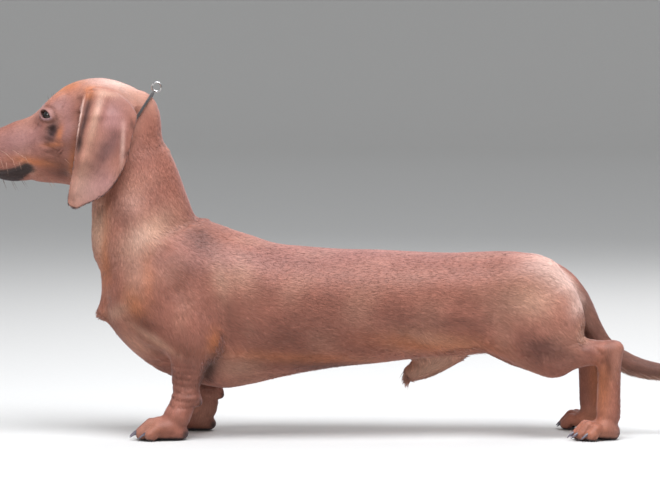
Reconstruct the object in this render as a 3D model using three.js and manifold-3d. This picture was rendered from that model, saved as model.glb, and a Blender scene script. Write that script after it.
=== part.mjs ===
// A smooth-haired dachshund, life size, standing in profile with its head towards -X.
// Its left side is at -Y, the soles of its feet stand on z = 0, and its tail runs towards +X.
// The body is one field of blended masses; it is turned into closed faceted solids and parted
// into head, neck, trunk, limbs and tail by thin cuts. Sizes are in millimetres.

import * as THREE from 'three';
import { mergeVertices } from 'three/addons/utils/BufferGeometryUtils.js';
import Module from 'manifold-3d';

const wasm = await Module();
wasm.setup();

// Driving dimensions

const gap = 0.3;                 // clear space between two nodes that face each other
const sliverLimit = 0.0008;      // facets that fold up at less than this error, in mm to the fourth
const sideLeft = -1;
const sideRight = 1;
const eyeRadius = 9.6;
const eyeCentre = [-319.2, 21.4, 326.5];
const eyeFacing = [-0.66, 0.72, 0.2];
const lidHalfLength = 7.9;
const lidHalfHeight = 4.7;
const lidThickness = 1.9;
const earThickness = 4.2;
const earClearance = 1.3;
const earSeatDepth = 35.5;       // distance of the slanted seat of the ear from the mid-plane, at z = 338
const earSeatSlant = 0.25;
const earSeatBottom = 322;
const earSeatRoom = 0.8;         // clear space round the root of the ear in its seat
const foreLegStep = [0, 25];     // how far the left and the right fore foot stand back
const hindFootStep = [0, -11];   // the same for the hind feet
const hindHockStep = [0, -15.5];   // and for the hocks above them
const clawRadius = 2.9;
const collarRadius = 1.5;
const collarLift = 1.2;          // clear space between the loop and the neck
const ringRadius = 4.6;
const ringWire = 1.0;

// Stations of the trunk: x, top, bottom, half width, widest level (0 to 1), upper and lower fullness
const trunkStations = [
  [-265, 146, 118, 12, 0.5, 2, 2],
  [-260, 158, 110, 26, 0.5, 2, 2],
  [-252, 173, 99, 38, 0.5, 2, 2],
  [-237, 187, 84, 48, 0.55, 2, 2],
  [-216, 199, 68, 56, 0.58, 2, 2],
  [-191, 210, 57, 61, 0.58, 2.1, 1.9],
  [-165, 217, 51, 64, 0.56, 2.1, 1.9],
  [-145, 213, 48, 66, 0.55, 2.2, 1.9],
  [-119, 205, 52, 68, 0.55, 2.2, 2],
  [-94, 197, 58, 69, 0.54, 2.2, 2.1],
  [-68, 194, 64, 69, 0.54, 2.2, 2.2],
  [-28, 191, 70, 67, 0.53, 2.2, 2.2],
  [13, 190, 74, 64, 0.52, 2.2, 2.2],
  [54, 188, 79, 60, 0.52, 2.2, 2.2],
  [85, 187, 81, 56, 0.52, 2.2, 2.2],
  [115, 188, 83.5, 53, 0.55, 2.2, 2.1],
  [140, 188.5, 86, 52, 0.56, 2.2, 2],
  [160, 187, 92, 49, 0.55, 2.1, 2],
  [178, 181, 100, 44, 0.54, 2, 2],
  [194, 171, 109, 36, 0.52, 2, 2],
  [207, 158, 120, 27, 0.5, 2, 2],
  [215, 146, 132, 14, 0.5, 2, 2],
];

// Stations of the head: the same columns
const headStations = [
  [-388, 305, 275.5, 11, 0.45, 2, 2.2],
  [-384, 309, 267, 14.5, 0.42, 2, 2.2],
  [-378, 312.5, 262, 17.5, 0.4, 2.1, 2.3],
  [-369, 316, 258.8, 19, 0.38, 2.2, 2.4],
  [-359, 320.5, 257.8, 20.5, 0.38, 2.2, 2.4],
  [-349, 323.5, 259, 23, 0.38, 2.1, 2.3],
  [-341, 327, 260, 26.5, 0.4, 2.1, 2.2],
  [-334, 332.5, 259, 30, 0.42, 2.1, 2.2],
  [-326, 341, 258, 33, 0.44, 2.1, 2.1],
  [-317, 349, 257.5, 36, 0.46, 2.1, 2.1],
  [-306, 357, 256, 39, 0.48, 2.1, 2],
  [-292, 362.5, 252, 41, 0.5, 2.1, 2],
  [-272, 365, 249, 41, 0.52, 2.1, 2],
  [-254, 362, 253, 38, 0.54, 2.1, 2],
  [-241, 356, 266, 31, 0.55, 2, 2],
  [-233, 349, 284, 21, 0.5, 2, 2],
];

// Axes of the round parts: x, y, z, half depth in side view, half width across
const neckAxis = [
  [-250, 0, 303, 41, 36],
  [-247, 0, 283, 45, 39],
  [-236.5, 0, 257, 46.5, 42],
  [-230, 0, 226, 51.5, 46],
  [-225, 0, 198, 56.5, 49],
  [-212, 0, 177, 64, 54],
];
const tailAxis = [
  [176, 0, 163, 18, 16],
  [198, 0, 154.5, 16.5, 15],
  [217, 0, 132, 14, 13.5],
  [228, 0, 110, 12.6, 12.4],
  [240, 0, 92, 11.5, 11],
  [254, 0, 80.5, 11, 10.5],
  [274, 0, 70.5, 10.4, 10],
  [296, 0, 65.5, 9, 8.8],
  [324, 0, 62, 7.4, 7.2],
  [350, 0, 62.5, 5.9, 5.8],
  [375, 0, 67, 4.3, 4.3],
  [396, 0, 75, 2.4, 2.4],
];
const upperArmAxis = [
  [-222, 40, 146, 30, 17],
  [-196, 46, 124, 33, 19],
  [-172, 50, 104, 26, 17],
];
const foreArmAxis = [
  [-168, 51, 116, 24, 16],
  [-174, 50, 103, 25, 17],
  [-178, 48, 84, 21.4, 15.5],
  [-181, 45.5, 70, 18.5, 14.5],
  [-183, 43.5, 58, 15.5, 13.5],
  [-184, 43, 46, 13.2, 13.5],
  [-187, 44, 36, 13.2, 14.5],
  [-192, 46, 24, 14, 16],
];
const thighAxis = [
  [158, 28, 158, 38, 18],
  [168, 33, 134, 46, 23],
  [179, 36, 108, 44, 24],
  [185, 39, 90, 31, 20],
  [187, 40, 79, 17, 15],
];
const shankAxis = [
  [186, 38, 85, 19, 17],
  [205, 39, 88, 18.5, 16.5],
  [222, 41, 89, 15.5, 14],
  [240, 42, 87.5, 12.5, 12],
];
const hockAxis = [
  [247, 42, 90, 11.5, 11],
  [245, 42, 78, 12.4, 11.5],
  [244.3, 42.5, 57, 12.3, 11],
  [244, 42.5, 37, 12.6, 11],
  [244, 43, 24, 12.2, 12.5],
];
const sheathAxis = [
  [92, 0, 84, 10, 9],
  [74, 0, 77, 12.5, 8.5],
  [58, 0, 70, 12.5, 8],
  [45, 0, 63.5, 9.5, 6.5],
];

// The line of the mouth in side view, from under the nose to its corner
const mouthLine = [
  [-396, 279], [-386, 273], [-374, 271], [-364, 272], [-354, 274.5], [-345, 278], [-338, 275],
];

// Folds and furrows in side view: points, half width, depth (negative stands out)
const folds = [
  { line: [[-334, 306], [-326, 300], [-316, 298]], width: 5, depth: 1.2 },
  { line: [[-252, 131], [-244, 126], [-226, 110], [-203, 96]], width: 6, depth: 2.6 },
  { line: [[-200, 205], [-215, 180], [-226, 156]], width: 9, depth: 2 },
  { line: [[-152, 150], [-146, 128], [-146, 104]], width: 8, depth: 2.2 },
  { line: [[210, 98], [224, 99], [238, 95]], width: 5, depth: 2 },
  { line: [[118, 96], [128, 116], [132, 140]], width: 8, depth: 1.6 },
];

// Toes of a fore foot: start x, y offset, tip x, y offset, radius, height of the knuckle
const foreToes = [
  [-206, -9.5, -219, -14.5, 7, 10.5],
  [-209, -4, -227, -5.5, 7.4, 13.5],
  [-209, 4, -227, 6, 7.4, 13.5],
  [-206, 9.5, -219, 15, 7, 10.5],
];
const hindToes = [
  [-14, -8.5, -25, -12.5, 6.6, 10],
  [-17, -3.5, -32, -4.5, 7, 12.5],
  [-17, 3.5, -32, 5, 7, 12.5],
  [-14, 8.5, -25, 13, 6.6, 10],
];
const hindFootTurn = [0.36, 0.72];

// Plain vector helpers

const dot = (a, b) => a[0] * b[0] + a[1] * b[1] + a[2] * b[2];
const cross = (a, b) => [
  a[1] * b[2] - a[2] * b[1],
  a[2] * b[0] - a[0] * b[2],
  a[0] * b[1] - a[1] * b[0],
];
const unit = (a) => {
  const length = Math.hypot(a[0], a[1], a[2]);
  return [a[0] / length, a[1] / length, a[2] / length];
};
const clamp = (value, low, high) => Math.min(Math.max(value, low), high);
const smoothStep = (low, high, value) => {
  const t = clamp((value - low) / (high - low), 0, 1);
  return t * t * (3 - 2 * t);
};
const smoothMin = (a, b, reach) => {
  const h = Math.max(reach - Math.abs(a - b), 0) / reach;
  return Math.min(a, b) - h * h * reach / 4;
};
const smoothMax = (a, b, reach) => -smoothMin(-a, -b, reach);

// A smooth curve through rows of numbers, with the first column or the row number as its parameter
function rowCurve(rows, keys) {
  const slopes = rows.map((row, i) => {
    const before = Math.max(i - 1, 0);
    const after = Math.min(i + 1, rows.length - 1);
    return row.map((_, c) => (rows[after][c] - rows[before][c]) / (keys[after] - keys[before]));
  });
  return (key) => {
    let i = 0;
    while (i < rows.length - 2 && key > keys[i + 1]) {
      i += 1;
    }
    const span = keys[i + 1] - keys[i];
    const t = clamp((key - keys[i]) / span, 0, 1);
    const t2 = t * t;
    const t3 = t2 * t;
    return rows[i].map((value, c) => (2 * t3 - 3 * t2 + 1) * value
      + (t3 - 2 * t2 + t) * span * slopes[i][c]
      + (3 * t2 - 2 * t3) * rows[i + 1][c]
      + (t3 - t2) * span * slopes[i + 1][c]);
  };
}

// A mass given by cross-sections along x
function sectionMass(stations, blend) {
  const first = stations[0][0];
  const last = stations[stations.length - 1][0];
  const curve = rowCurve(stations, stations.map((row) => row[0]));
  const rows = [];
  for (let x = first; x <= last; x += 1) {
    rows.push(curve(x));
  }
  rows.push(curve(last));
  const reachY = Math.max(...stations.map((row) => row[3]));
  const high = Math.max(...stations.map((row) => row[1]));
  const low = Math.min(...stations.map((row) => row[2]));
  const field = (x, y, z) => {
    const inside = clamp(x, first, last);
    const beyond = x - inside;
    const place = inside - first;
    const index = Math.min(Math.floor(place), rows.length - 2);
    const t = Math.min(place - index, 1);
    const a = rows[index];
    const b = rows[index + 1];
    const top = a[1] + (b[1] - a[1]) * t;
    const bottom = a[2] + (b[2] - a[2]) * t;
    const width = a[3] + (b[3] - a[3]) * t;
    const level = bottom + (top - bottom) * (a[4] + (b[4] - a[4]) * t);
    const up = z - level;
    const height = up > 0 ? top - level : level - bottom;
    const power = up > 0 ? a[5] + (b[5] - a[5]) * t : a[6] + (b[6] - a[6]) * t;
    const q = (Math.pow(Math.abs(y) / width, power) + Math.pow(Math.abs(up) / height, power)) ** (1 / power);
    const r = Math.hypot(y, up);
    const flat = q > 1e-4 ? r * (1 - 1 / q) : -Math.min(width, height);
    if (beyond === 0) {
      return flat;
    }
    const round = Math.min(width, height) * 0.8;
    return Math.hypot(Math.max(flat + round, 0), beyond) - round;
  };
  return { field, blend, box: [first - 12, last + 12, -reachY, reachY, low, high] };
}

// A mass round an axis, with its own depth in side view and its own width
function axisMass(rows, blend) {
  const keys = [0];
  for (let i = 1; i < rows.length; i += 1) {
    keys.push(keys[i - 1] + Math.hypot(rows[i][0] - rows[i - 1][0], rows[i][1] - rows[i - 1][1],
      rows[i][2] - rows[i - 1][2]));
  }
  const curve = rowCurve(rows, keys);
  const length = keys[keys.length - 1];
  const count = Math.max(Math.round(length / 5), 3);
  const samples = [];
  for (let i = 0; i <= count; i += 1) {
    samples.push(curve(length * i / count));
  }
  const segments = [];
  for (let i = 0; i < count; i += 1) {
    const from = samples[i];
    const step = [samples[i + 1][0] - from[0], samples[i + 1][1] - from[1], samples[i + 1][2] - from[2]];
    const along = unit(step);
    const side = unit([-along[0] * along[1], 1 - along[1] * along[1], -along[2] * along[1]]);
    segments.push({
      from, step, along, side, across: cross(side, along), square: dot(step, step), to: samples[i + 1],
    });
  }
  const field = (x, y, z) => {
    let best = Infinity;
    let near = null;
    let nearT = 0;
    for (const segment of segments) {
      const dx = x - segment.from[0];
      const dy = y - segment.from[1];
      const dz = z - segment.from[2];
      const along = (dx * segment.step[0] + dy * segment.step[1] + dz * segment.step[2]) / segment.square;
      const t = clamp(along, 0, 1);
      const ex = dx - segment.step[0] * t;
      const ey = dy - segment.step[1] * t;
      const ez = dz - segment.step[2] * t;
      const square = ex * ex + ey * ey + ez * ez;
      if (square < best) {
        best = square;
        near = segment;
        nearT = t;
      }
    }
    const t = nearT;
    const offset = [x - near.from[0] - near.step[0] * t, y - near.from[1] - near.step[1] * t,
      z - near.from[2] - near.step[2] * t];
    const depth = near.from[3] + (near.to[3] - near.from[3]) * t;
    const width = near.from[4] + (near.to[4] - near.from[4]) * t;
    const u = dot(offset, near.across);
    const v = dot(offset, near.side);
    const w = dot(offset, near.along);
    const r = Math.hypot(u, v);
    const q = Math.hypot(u / depth, v / width);
    const flat = q > 1e-4 ? r * (1 - 1 / q) : -Math.min(depth, width);
    if (Math.abs(w) < 1e-6) {
      return flat;
    }
    const round = Math.min(depth, width) * 0.95;
    return Math.hypot(Math.max(flat + round, 0), w) - round;
  };
  const reach = Math.max(...rows.map((row) => Math.max(row[3], row[4])));
  const range = (c) => {
    const values = rows.map((row) => row[c]);
    return [Math.min(...values) - reach, Math.max(...values) + reach];
  };
  return { field, blend, box: [...range(0), ...range(1), ...range(2)] };
}

// An egg-shaped mass; tilt turns it in side view, turn turns it about the vertical
function eggMass(centre, radii, blend, tilt = 0, turn = 0, cut = false) {
  const [cosTilt, sinTilt] = [Math.cos(tilt), Math.sin(tilt)];
  const [cosTurn, sinTurn] = [Math.cos(turn), Math.sin(turn)];
  const field = (x, y, z) => {
    const px = (x - centre[0]) * cosTurn + (y - centre[1]) * sinTurn;
    const py = -(x - centre[0]) * sinTurn + (y - centre[1]) * cosTurn;
    const pz = z - centre[2];
    const qx = px * cosTilt + pz * sinTilt;
    const qz = -px * sinTilt + pz * cosTilt;
    const r = Math.hypot(qx, py, qz);
    const q = Math.hypot(qx / radii[0], py / radii[1], qz / radii[2]);
    return q > 1e-4 ? r * (1 - 1 / q) : -Math.min(...radii);
  };
  const reach = Math.max(...radii);
  const box = centre.flatMap((value) => [value - reach, value + reach]);
  return { field, blend, cut, box };
}

// A round bar through points, joined to the body or carved out of it
function barMass(points, radius, blend, cut = false) {
  const field = (x, y, z) => {
    let best = Infinity;
    for (let i = 0; i < points.length - 1; i += 1) {
      const a = points[i];
      const b = points[i + 1];
      const step = [b[0] - a[0], b[1] - a[1], b[2] - a[2]];
      const off = [x - a[0], y - a[1], z - a[2]];
      const t = clamp(dot(off, step) / dot(step, step), 0, 1);
      best = Math.min(best, Math.hypot(off[0] - step[0] * t, off[1] - step[1] * t, off[2] - step[2] * t));
    }
    return best - radius;
  };
  const range = (c) => {
    const values = points.map((p) => p[c]);
    return [Math.min(...values) - radius, Math.max(...values) + radius];
  };
  return { field, blend, cut, box: [...range(0), ...range(1), ...range(2)] };
}

// Distance in side view from a point to a line of points
function lineDistance(line, x, z) {
  let best = Infinity;
  for (let i = 0; i < line.length - 1; i += 1) {
    const [ax, az] = line[i];
    const dx = line[i + 1][0] - ax;
    const dz = line[i + 1][1] - az;
    const t = clamp(((x - ax) * dx + (z - az) * dz) / (dx * dx + dz * dz), 0, 1);
    best = Math.min(best, Math.hypot(x - ax - dx * t, z - az - dz * t));
  }
  return best;
}

function blendMasses(masses) {
  const margin = 24;
  return (x, y, z) => {
    let value = Infinity;
    for (const mass of masses) {
      const box = mass.box;
      if (x < box[0] - margin || x > box[1] + margin || y < box[2] - margin || y > box[3] + margin
        || z < box[4] - margin || z > box[5] + margin) {
        continue;
      }
      const next = mass.field(x, y, z);
      if (mass.cut) {
        value = smoothMax(value === Infinity ? margin : value, -next, mass.blend);
      } else {
        value = value === Infinity ? next : smoothMin(value, next, mass.blend);
      }
    }
    return value === Infinity ? margin : value;
  };
}

// The frame of one eye: outward, along the lids and across them
function eyeFrame(side) {
  const out = unit([eyeFacing[0], side * eyeFacing[1], eyeFacing[2]]);
  const level = unit(cross([0, 0, 1], out));
  const tilted = unit([level[0] * side, level[1] * side, 0.42]);
  const lids = unit([tilted[0] - out[0] * dot(tilted, out), tilted[1] - out[1] * dot(tilted, out),
    tilted[2] - out[2] * dot(tilted, out)]);
  return { centre: [eyeCentre[0], side * eyeCentre[1], eyeCentre[2]], out, lids, across: cross(out, lids) };
}

const eyeFrames = { [sideLeft]: eyeFrame(sideLeft), [sideRight]: eyeFrame(sideRight) };

// Signed distance in the plane of the lids to the almond opening, below zero inside it
function lidOpening(frame, x, y, z) {
  const offset = [x - frame.centre[0], y - frame.centre[1], z - frame.centre[2]];
  const u = dot(offset, frame.lids);
  const v = dot(offset, frame.across);
  const arc = (lidHalfLength ** 2 + lidHalfHeight ** 2) / (2 * lidHalfHeight);
  const rise = arc - lidHalfHeight;
  return [Math.hypot(u, Math.abs(v) + rise) - arc, dot(offset, frame.out)];
}

function headMasses() {
  const masses = [sectionMass(headStations, 10)];
  for (const side of [sideLeft, sideRight]) {
    masses.push(
      eggMass([-283, side * 30, 283], [26, 13, 20], 12, -0.3),
      eggMass([-296, side * 34, 306], [24, 9, 10], 12, 0.15),
      eggMass([-272, side * 25, 338], [28, 14, 18], 12, 0.3),
      eggMass([-317, side * 21, 340], [12, 7, 5], 9, 0.7),
      barMass([[-386, side * 8, 281], [-372, side * 11, 281], [-354, side * 13.5, 283]], 6.5, 8),
      eggMass([-343, side * 27, 318], [9, 7, 6], 9, 0.5, 0, true),
      eggMass(eyeFrames[side].centre, [1, 1, 1].map((v) => v * (eyeRadius + lidThickness)), 5),
    );
  }
  masses.push(eggMass([-387, 0, 298.5], [11.5, 12.5, 10.5], 4));
  return masses;
}

function headDetail(value, x, y, z) {
  let result = value;
  if (x < -330 && z < 300) {
    const near = lineDistance(mouthLine, x, z);
    const back = smoothStep(-334, -346, x);
    const level = mouthLevel(x);
    result += back * 1.9 * smoothStep(0, 4, level - z) * smoothStep(24, 10, level - z);
    result += 1.5 * Math.exp(-((near / 1.5) ** 2)) - 0.5 * back * Math.exp(-(((z - level - 3.4) / 2) ** 2));
  }
  if (x < -380) {
    const side = y < 0 ? -1 : 1;
    const slit = barMass([[-401, side * 4.6, 297.5], [-396, side * 5.6, 297], [-391.5, side * 9.6, 293.5],
      [-388, side * 12.5, 293.8]], 1.5, 1).field(x, y, z);
    const hole = eggMass([-399, side * 5, 297.8], [7, 2.5, 2.9], 1).field(x, y, z);
    result = smoothMax(result, -smoothMin(slit, hole, 1.5), 1);
    result += 1.1 * Math.exp(-((y / 1.1) ** 2)) * smoothStep(299, 295, z) * smoothStep(274, 280, z);
  }
  for (const side of [sideLeft, sideRight]) {
    if (x < -300 && x > -345 && y * side > 6 && z > 300) {
      const [edge, out] = lidOpening(eyeFrames[side], x, y, z);
      if (out > 0) {
        result -= 0.8 * Math.exp(-(((edge - 1.2) / 1.4) ** 2)) * smoothStep(2, 6, out);
        result += 0.9 * Math.exp(-(((edge - 4.7) / 1.7) ** 2)) * smoothStep(2, 6, out);
        result = smoothMax(result, -Math.max(edge, 6.4 - out), 0.8);
      }
    }
  }
  return result;
}

const mouthCurve = rowCurve(mouthLine, mouthLine.map((point) => point[0]));

function mouthLevel(x) {
  return mouthCurve(clamp(x, -396, -338))[1];
}

const footTurn = (side) => (side === sideLeft ? 0 : 1);

// How far back a place on a fore leg stands; its foot end moves and its top stays
const foreLean = (side, z) => foreLegStep[footTurn(side)] * clamp((140 - z) / 120, 0, 1);

// The same for a hind leg, whose hock and foot have steps of their own
function hindLean(side, z) {
  const hock = hindHockStep[footTurn(side)];
  const foot = hindFootStep[footTurn(side)];
  return hock * clamp((190 - z) / 100, 0, 1) + (foot - hock) * clamp((90 - z) / 70, 0, 1);
}

// A limb's rows moved to its side
function standRows(rows, side, lean) {
  return rows.map(([x, y, z, depth, width]) => [x + lean(side, z), side * y, z, depth, width]);
}

function foreFoot(side) {
  const x = -206 + foreLegStep[footTurn(side)];
  return { x, y: side * 48, turn: side * -0.08, toes: foreToes, shift: 206 };
}

function hindFoot(side) {
  const turn = side * -hindFootTurn[footTurn(side)];
  return { x: 245 + hindFootStep[footTurn(side)], y: side * 44, turn, toes: hindToes, shift: 0 };
}

// A point given in a foot's own frame, moved and turned to where the foot stands
function onFoot(foot, x, y, z) {
  const c = Math.cos(foot.turn);
  const s = Math.sin(foot.turn);
  return [foot.x + x * c - y * s, foot.y + x * s + y * c, z];
}

function toePoints(foot, toe) {
  const [fromX, fromY, toX, toY, radius, knuckle] = toe;
  const from = onFoot(foot, fromX + foot.shift, fromY, knuckle);
  const middle = onFoot(foot, (fromX + toX) / 2 + foot.shift, (fromY + toY) / 2, knuckle + 1.5);
  const tip = onFoot(foot, toX + foot.shift, toY, radius - 0.6);
  return { from, middle, tip, radius };
}

function footMasses(foot, body) {
  const masses = body.map(([x, y, z, ...reach]) => eggMass(onFoot(foot, x, y, z), reach, 5, 0, foot.turn));
  for (const toe of foot.toes) {
    const { from, middle, tip, radius } = toePoints(foot, toe);
    masses.push(barMass([from, middle, tip], radius, 2.2));
  }
  return masses;
}

function foreLegMasses(side) {
  const step = foreLegStep[footTurn(side)];
  const foot = foreFoot(side);
  return [
    axisMass(standRows(upperArmAxis, side, foreLean), 16),
    eggMass([-176 + step * 0.2, side * 47, 128], [34, 17, 32], 12, 0.5),
    axisMass(standRows(foreArmAxis, side, foreLean), 9),
    eggMass([-160 + step * 0.35, side * 54, 99], [12, 10, 12], 9),
    eggMass([-182 + step * 0.78, side * 44, 43], [14.5, 14, 9], 6),
    eggMass([-171 + step * 0.8, side * 43, 38], [4.8, 4.2, 4.8], 4),
    ...footMasses(foot, [[0, 0, 12, 20, 18.5, 12.5], [14, 0, 7, 12, 14, 8]]),
    barMass([onFoot(foot, 8, side * -13, 22), onFoot(foot, 0, side * -16.5, 17)], 3.6, 3),
  ];
}

function hindLegMasses(side) {
  const foot = hindFoot(side);
  const lean = (z) => hindLean(side, z);
  return [
    axisMass(standRows(thighAxis, side, hindLean), 16),
    axisMass(standRows(shankAxis, side, hindLean), 9),
    axisMass(standRows(hockAxis, side, hindLean), 6),
    barMass([[247 + lean(80), side * 42, 80], [252 + lean(92), side * 42, 92]], 7, 6),
    eggMass([189 + lean(76), side * 41, 77], [15, 14, 12], 10),
    barMass([[132 + lean(100), side * 31, 102], [168 + lean(84), side * 36, 85]], 17, 10),
    ...footMasses(foot, [[-7, 0, 11, 15, 15, 11.5], [1, 0, 7, 9.5, 11.5, 8.5]]),
  ];
}

const bodyMasses = [
  sectionMass(trunkStations, 1),
  axisMass(neckAxis, 22),
  ...headMasses(),
  ...foreLegMasses(sideLeft),
  ...foreLegMasses(sideRight),
  ...hindLegMasses(sideLeft),
  ...hindLegMasses(sideRight),
  eggMass([152, 27, 158], [40, 22, 19], 16, 0.25),
  eggMass([152, -27, 158], [40, 22, 19], 16, 0.25),
  axisMass(tailAxis, 7),
  axisMass(sheathAxis, 8),
  eggMass([-240, 0, 325], [27.5, 26, 27.5], 12),
  eggMass([-172, 0, 202], [15, 20, 19.5], 5),
  eggMass([-243, 0, 156], [28.5, 27, 30], 14),
  eggMass([-265, 0, 126], [8.5, 12, 7], 10),
];
const blended = blendMasses(bodyMasses);

// Hollow of the throat over the point of the breastbone, in side view
const throatLine = [[-277, 164], [-276, 142]];
const throatDepth = 5.2;

function bodyField(x, y, z) {
  let value = blended(x, y, z);
  if (x < -240 && z > 100 && z < 210) {
    value += throatDepth * Math.exp(-((lineDistance(throatLine, x, z) / 11) ** 2));
  }
  if (z > 240 && x < -296) {
    value = headDetail(value, x, y, z);
  }
  for (const fold of folds) {
    const distance = lineDistance(fold.line, x, z);
    if (distance < fold.width * 3) {
      value += fold.depth * Math.exp(-((distance / fold.width) ** 2)) * smoothStep(10, 26, Math.abs(y));
    }
  }
  return value;
}

// Closed surface of a field inside a box, with its points drawn onto the surface
function surfaceOf(field, box, cell) {
  const size = [0, 1, 2].map((a) => Math.ceil((box[2 * a + 1] - box[2 * a]) / cell) + 3);
  const at = (a, i) => box[2 * a] + (i - 1) * cell;
  const clipped = (x, y, z) => Math.max(field(x, y, z), box[0] - x, x - box[1], box[2] - y, y - box[3],
    box[4] - z, z - box[5]);
  const [nx, ny, nz] = size;
  const values = new Float32Array(nx * ny * nz).fill(1);
  const block = 4;
  for (let i = 0; i < nx; i += block) {
    for (let j = 0; j < ny; j += block) {
      for (let k = 0; k < nz; k += block) {
        const half = block / 2;
        const middle = clipped(at(0, i + half), at(1, j + half), at(2, k + half));
        const skip = Math.abs(middle) > cell * block * 2.4;
        for (let a = i; a < Math.min(i + block, nx); a += 1) {
          for (let b = j; b < Math.min(j + block, ny); b += 1) {
            for (let c = k; c < Math.min(k + block, nz); c += 1) {
              const value = skip ? Math.sign(middle) : clipped(at(0, a), at(1, b), at(2, c));
              values[(a * ny + b) * nz + c] = value;
            }
          }
        }
      }
    }
  }
  const points = [];
  const cellPoint = new Int32Array(nx * ny * nz).fill(-1);
  const corner = (a, b, c) => values[(a * ny + b) * nz + c];
  for (let a = 0; a < nx - 1; a += 1) {
    for (let b = 0; b < ny - 1; b += 1) {
      for (let c = 0; c < nz - 1; c += 1) {
        const sum = [0, 0, 0];
        let crossings = 0;
        for (let axis = 0; axis < 3; axis += 1) {
          for (let e = 0; e < 4; e += 1) {
            const start = [0, 0, 0];
            start[(axis + 1) % 3] = e & 1;
            start[(axis + 2) % 3] = e >> 1;
            const end = start.slice();
            end[axis] = 1;
            const from = corner(a + start[0], b + start[1], c + start[2]);
            const to = corner(a + end[0], b + end[1], c + end[2]);
            if ((from < 0) !== (to < 0)) {
              const t = from / (from - to);
              for (let d = 0; d < 3; d += 1) {
                sum[d] += start[d] + (end[d] - start[d]) * t;
              }
              crossings += 1;
            }
          }
        }
        if (crossings > 0) {
          cellPoint[(a * ny + b) * nz + c] = points.length;
          points.push([a, b, c].map((i, k) => at(k, i + sum[k] / crossings)));
        }
      }
    }
  }
  const triangles = [];
  const cellAt = (a, b, c) => cellPoint[(a * ny + b) * nz + c];
  for (let a = 1; a < nx - 1; a += 1) {
    for (let b = 1; b < ny - 1; b += 1) {
      for (let c = 1; c < nz - 1; c += 1) {
        const here = corner(a, b, c) < 0;
        const quads = [
          [corner(a + 1, b, c) < 0, cellAt(a, b - 1, c - 1), cellAt(a, b, c - 1), cellAt(a, b, c),
            cellAt(a, b - 1, c)],
          [corner(a, b + 1, c) < 0, cellAt(a - 1, b, c - 1), cellAt(a - 1, b, c), cellAt(a, b, c),
            cellAt(a, b, c - 1)],
          [corner(a, b, c + 1) < 0, cellAt(a - 1, b - 1, c), cellAt(a, b - 1, c), cellAt(a, b, c),
            cellAt(a - 1, b, c)],
        ];
        for (const [there, p, q, r, s] of quads) {
          if (here === there) {
            continue;
          }
          if (here) {
            triangles.push([p, q, r], [p, r, s]);
          } else {
            triangles.push([p, r, q], [p, s, r]);
          }
        }
      }
    }
  }
  for (const point of points) {
    for (let pass = 0; pass < 3; pass += 1) {
      const [x, y, z] = point;
      const e = 0.15;
      const value = clipped(x, y, z);
      const slope = [
        (clipped(x + e, y, z) - clipped(x - e, y, z)) / (2 * e),
        (clipped(x, y + e, z) - clipped(x, y - e, z)) / (2 * e),
        (clipped(x, y, z + e) - clipped(x, y, z - e)) / (2 * e),
      ];
      const square = Math.max(dot(slope, slope), 0.3);
      const move = clamp(value / square, -cell * 0.5, cell * 0.5);
      for (let d = 0; d < 3; d += 1) {
        point[d] -= move * slope[d];
      }
    }
  }
  return { points, triangles };
}

// Smallest-first queue of edges
class EdgeQueue {
  constructor() {
    this.items = [];
  }

  push(item) {
    const items = this.items;
    let i = items.push(item) - 1;
    while (i > 0) {
      const parent = (i - 1) >> 1;
      if (items[parent].cost <= item.cost) {
        break;
      }
      items[i] = items[parent];
      i = parent;
    }
    items[i] = item;
  }

  pop() {
    const items = this.items;
    const first = items[0];
    const last = items.pop();
    if (items.length === 0) {
      return first;
    }
    let i = 0;
    for (;;) {
      let child = 2 * i + 1;
      if (child >= items.length) {
        break;
      }
      if (child + 1 < items.length && items[child + 1].cost < items[child].cost) {
        child += 1;
      }
      if (items[child].cost >= last.cost) {
        break;
      }
      items[i] = items[child];
      i = child;
    }
    items[i] = last;
    return first;
  }
}

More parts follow.
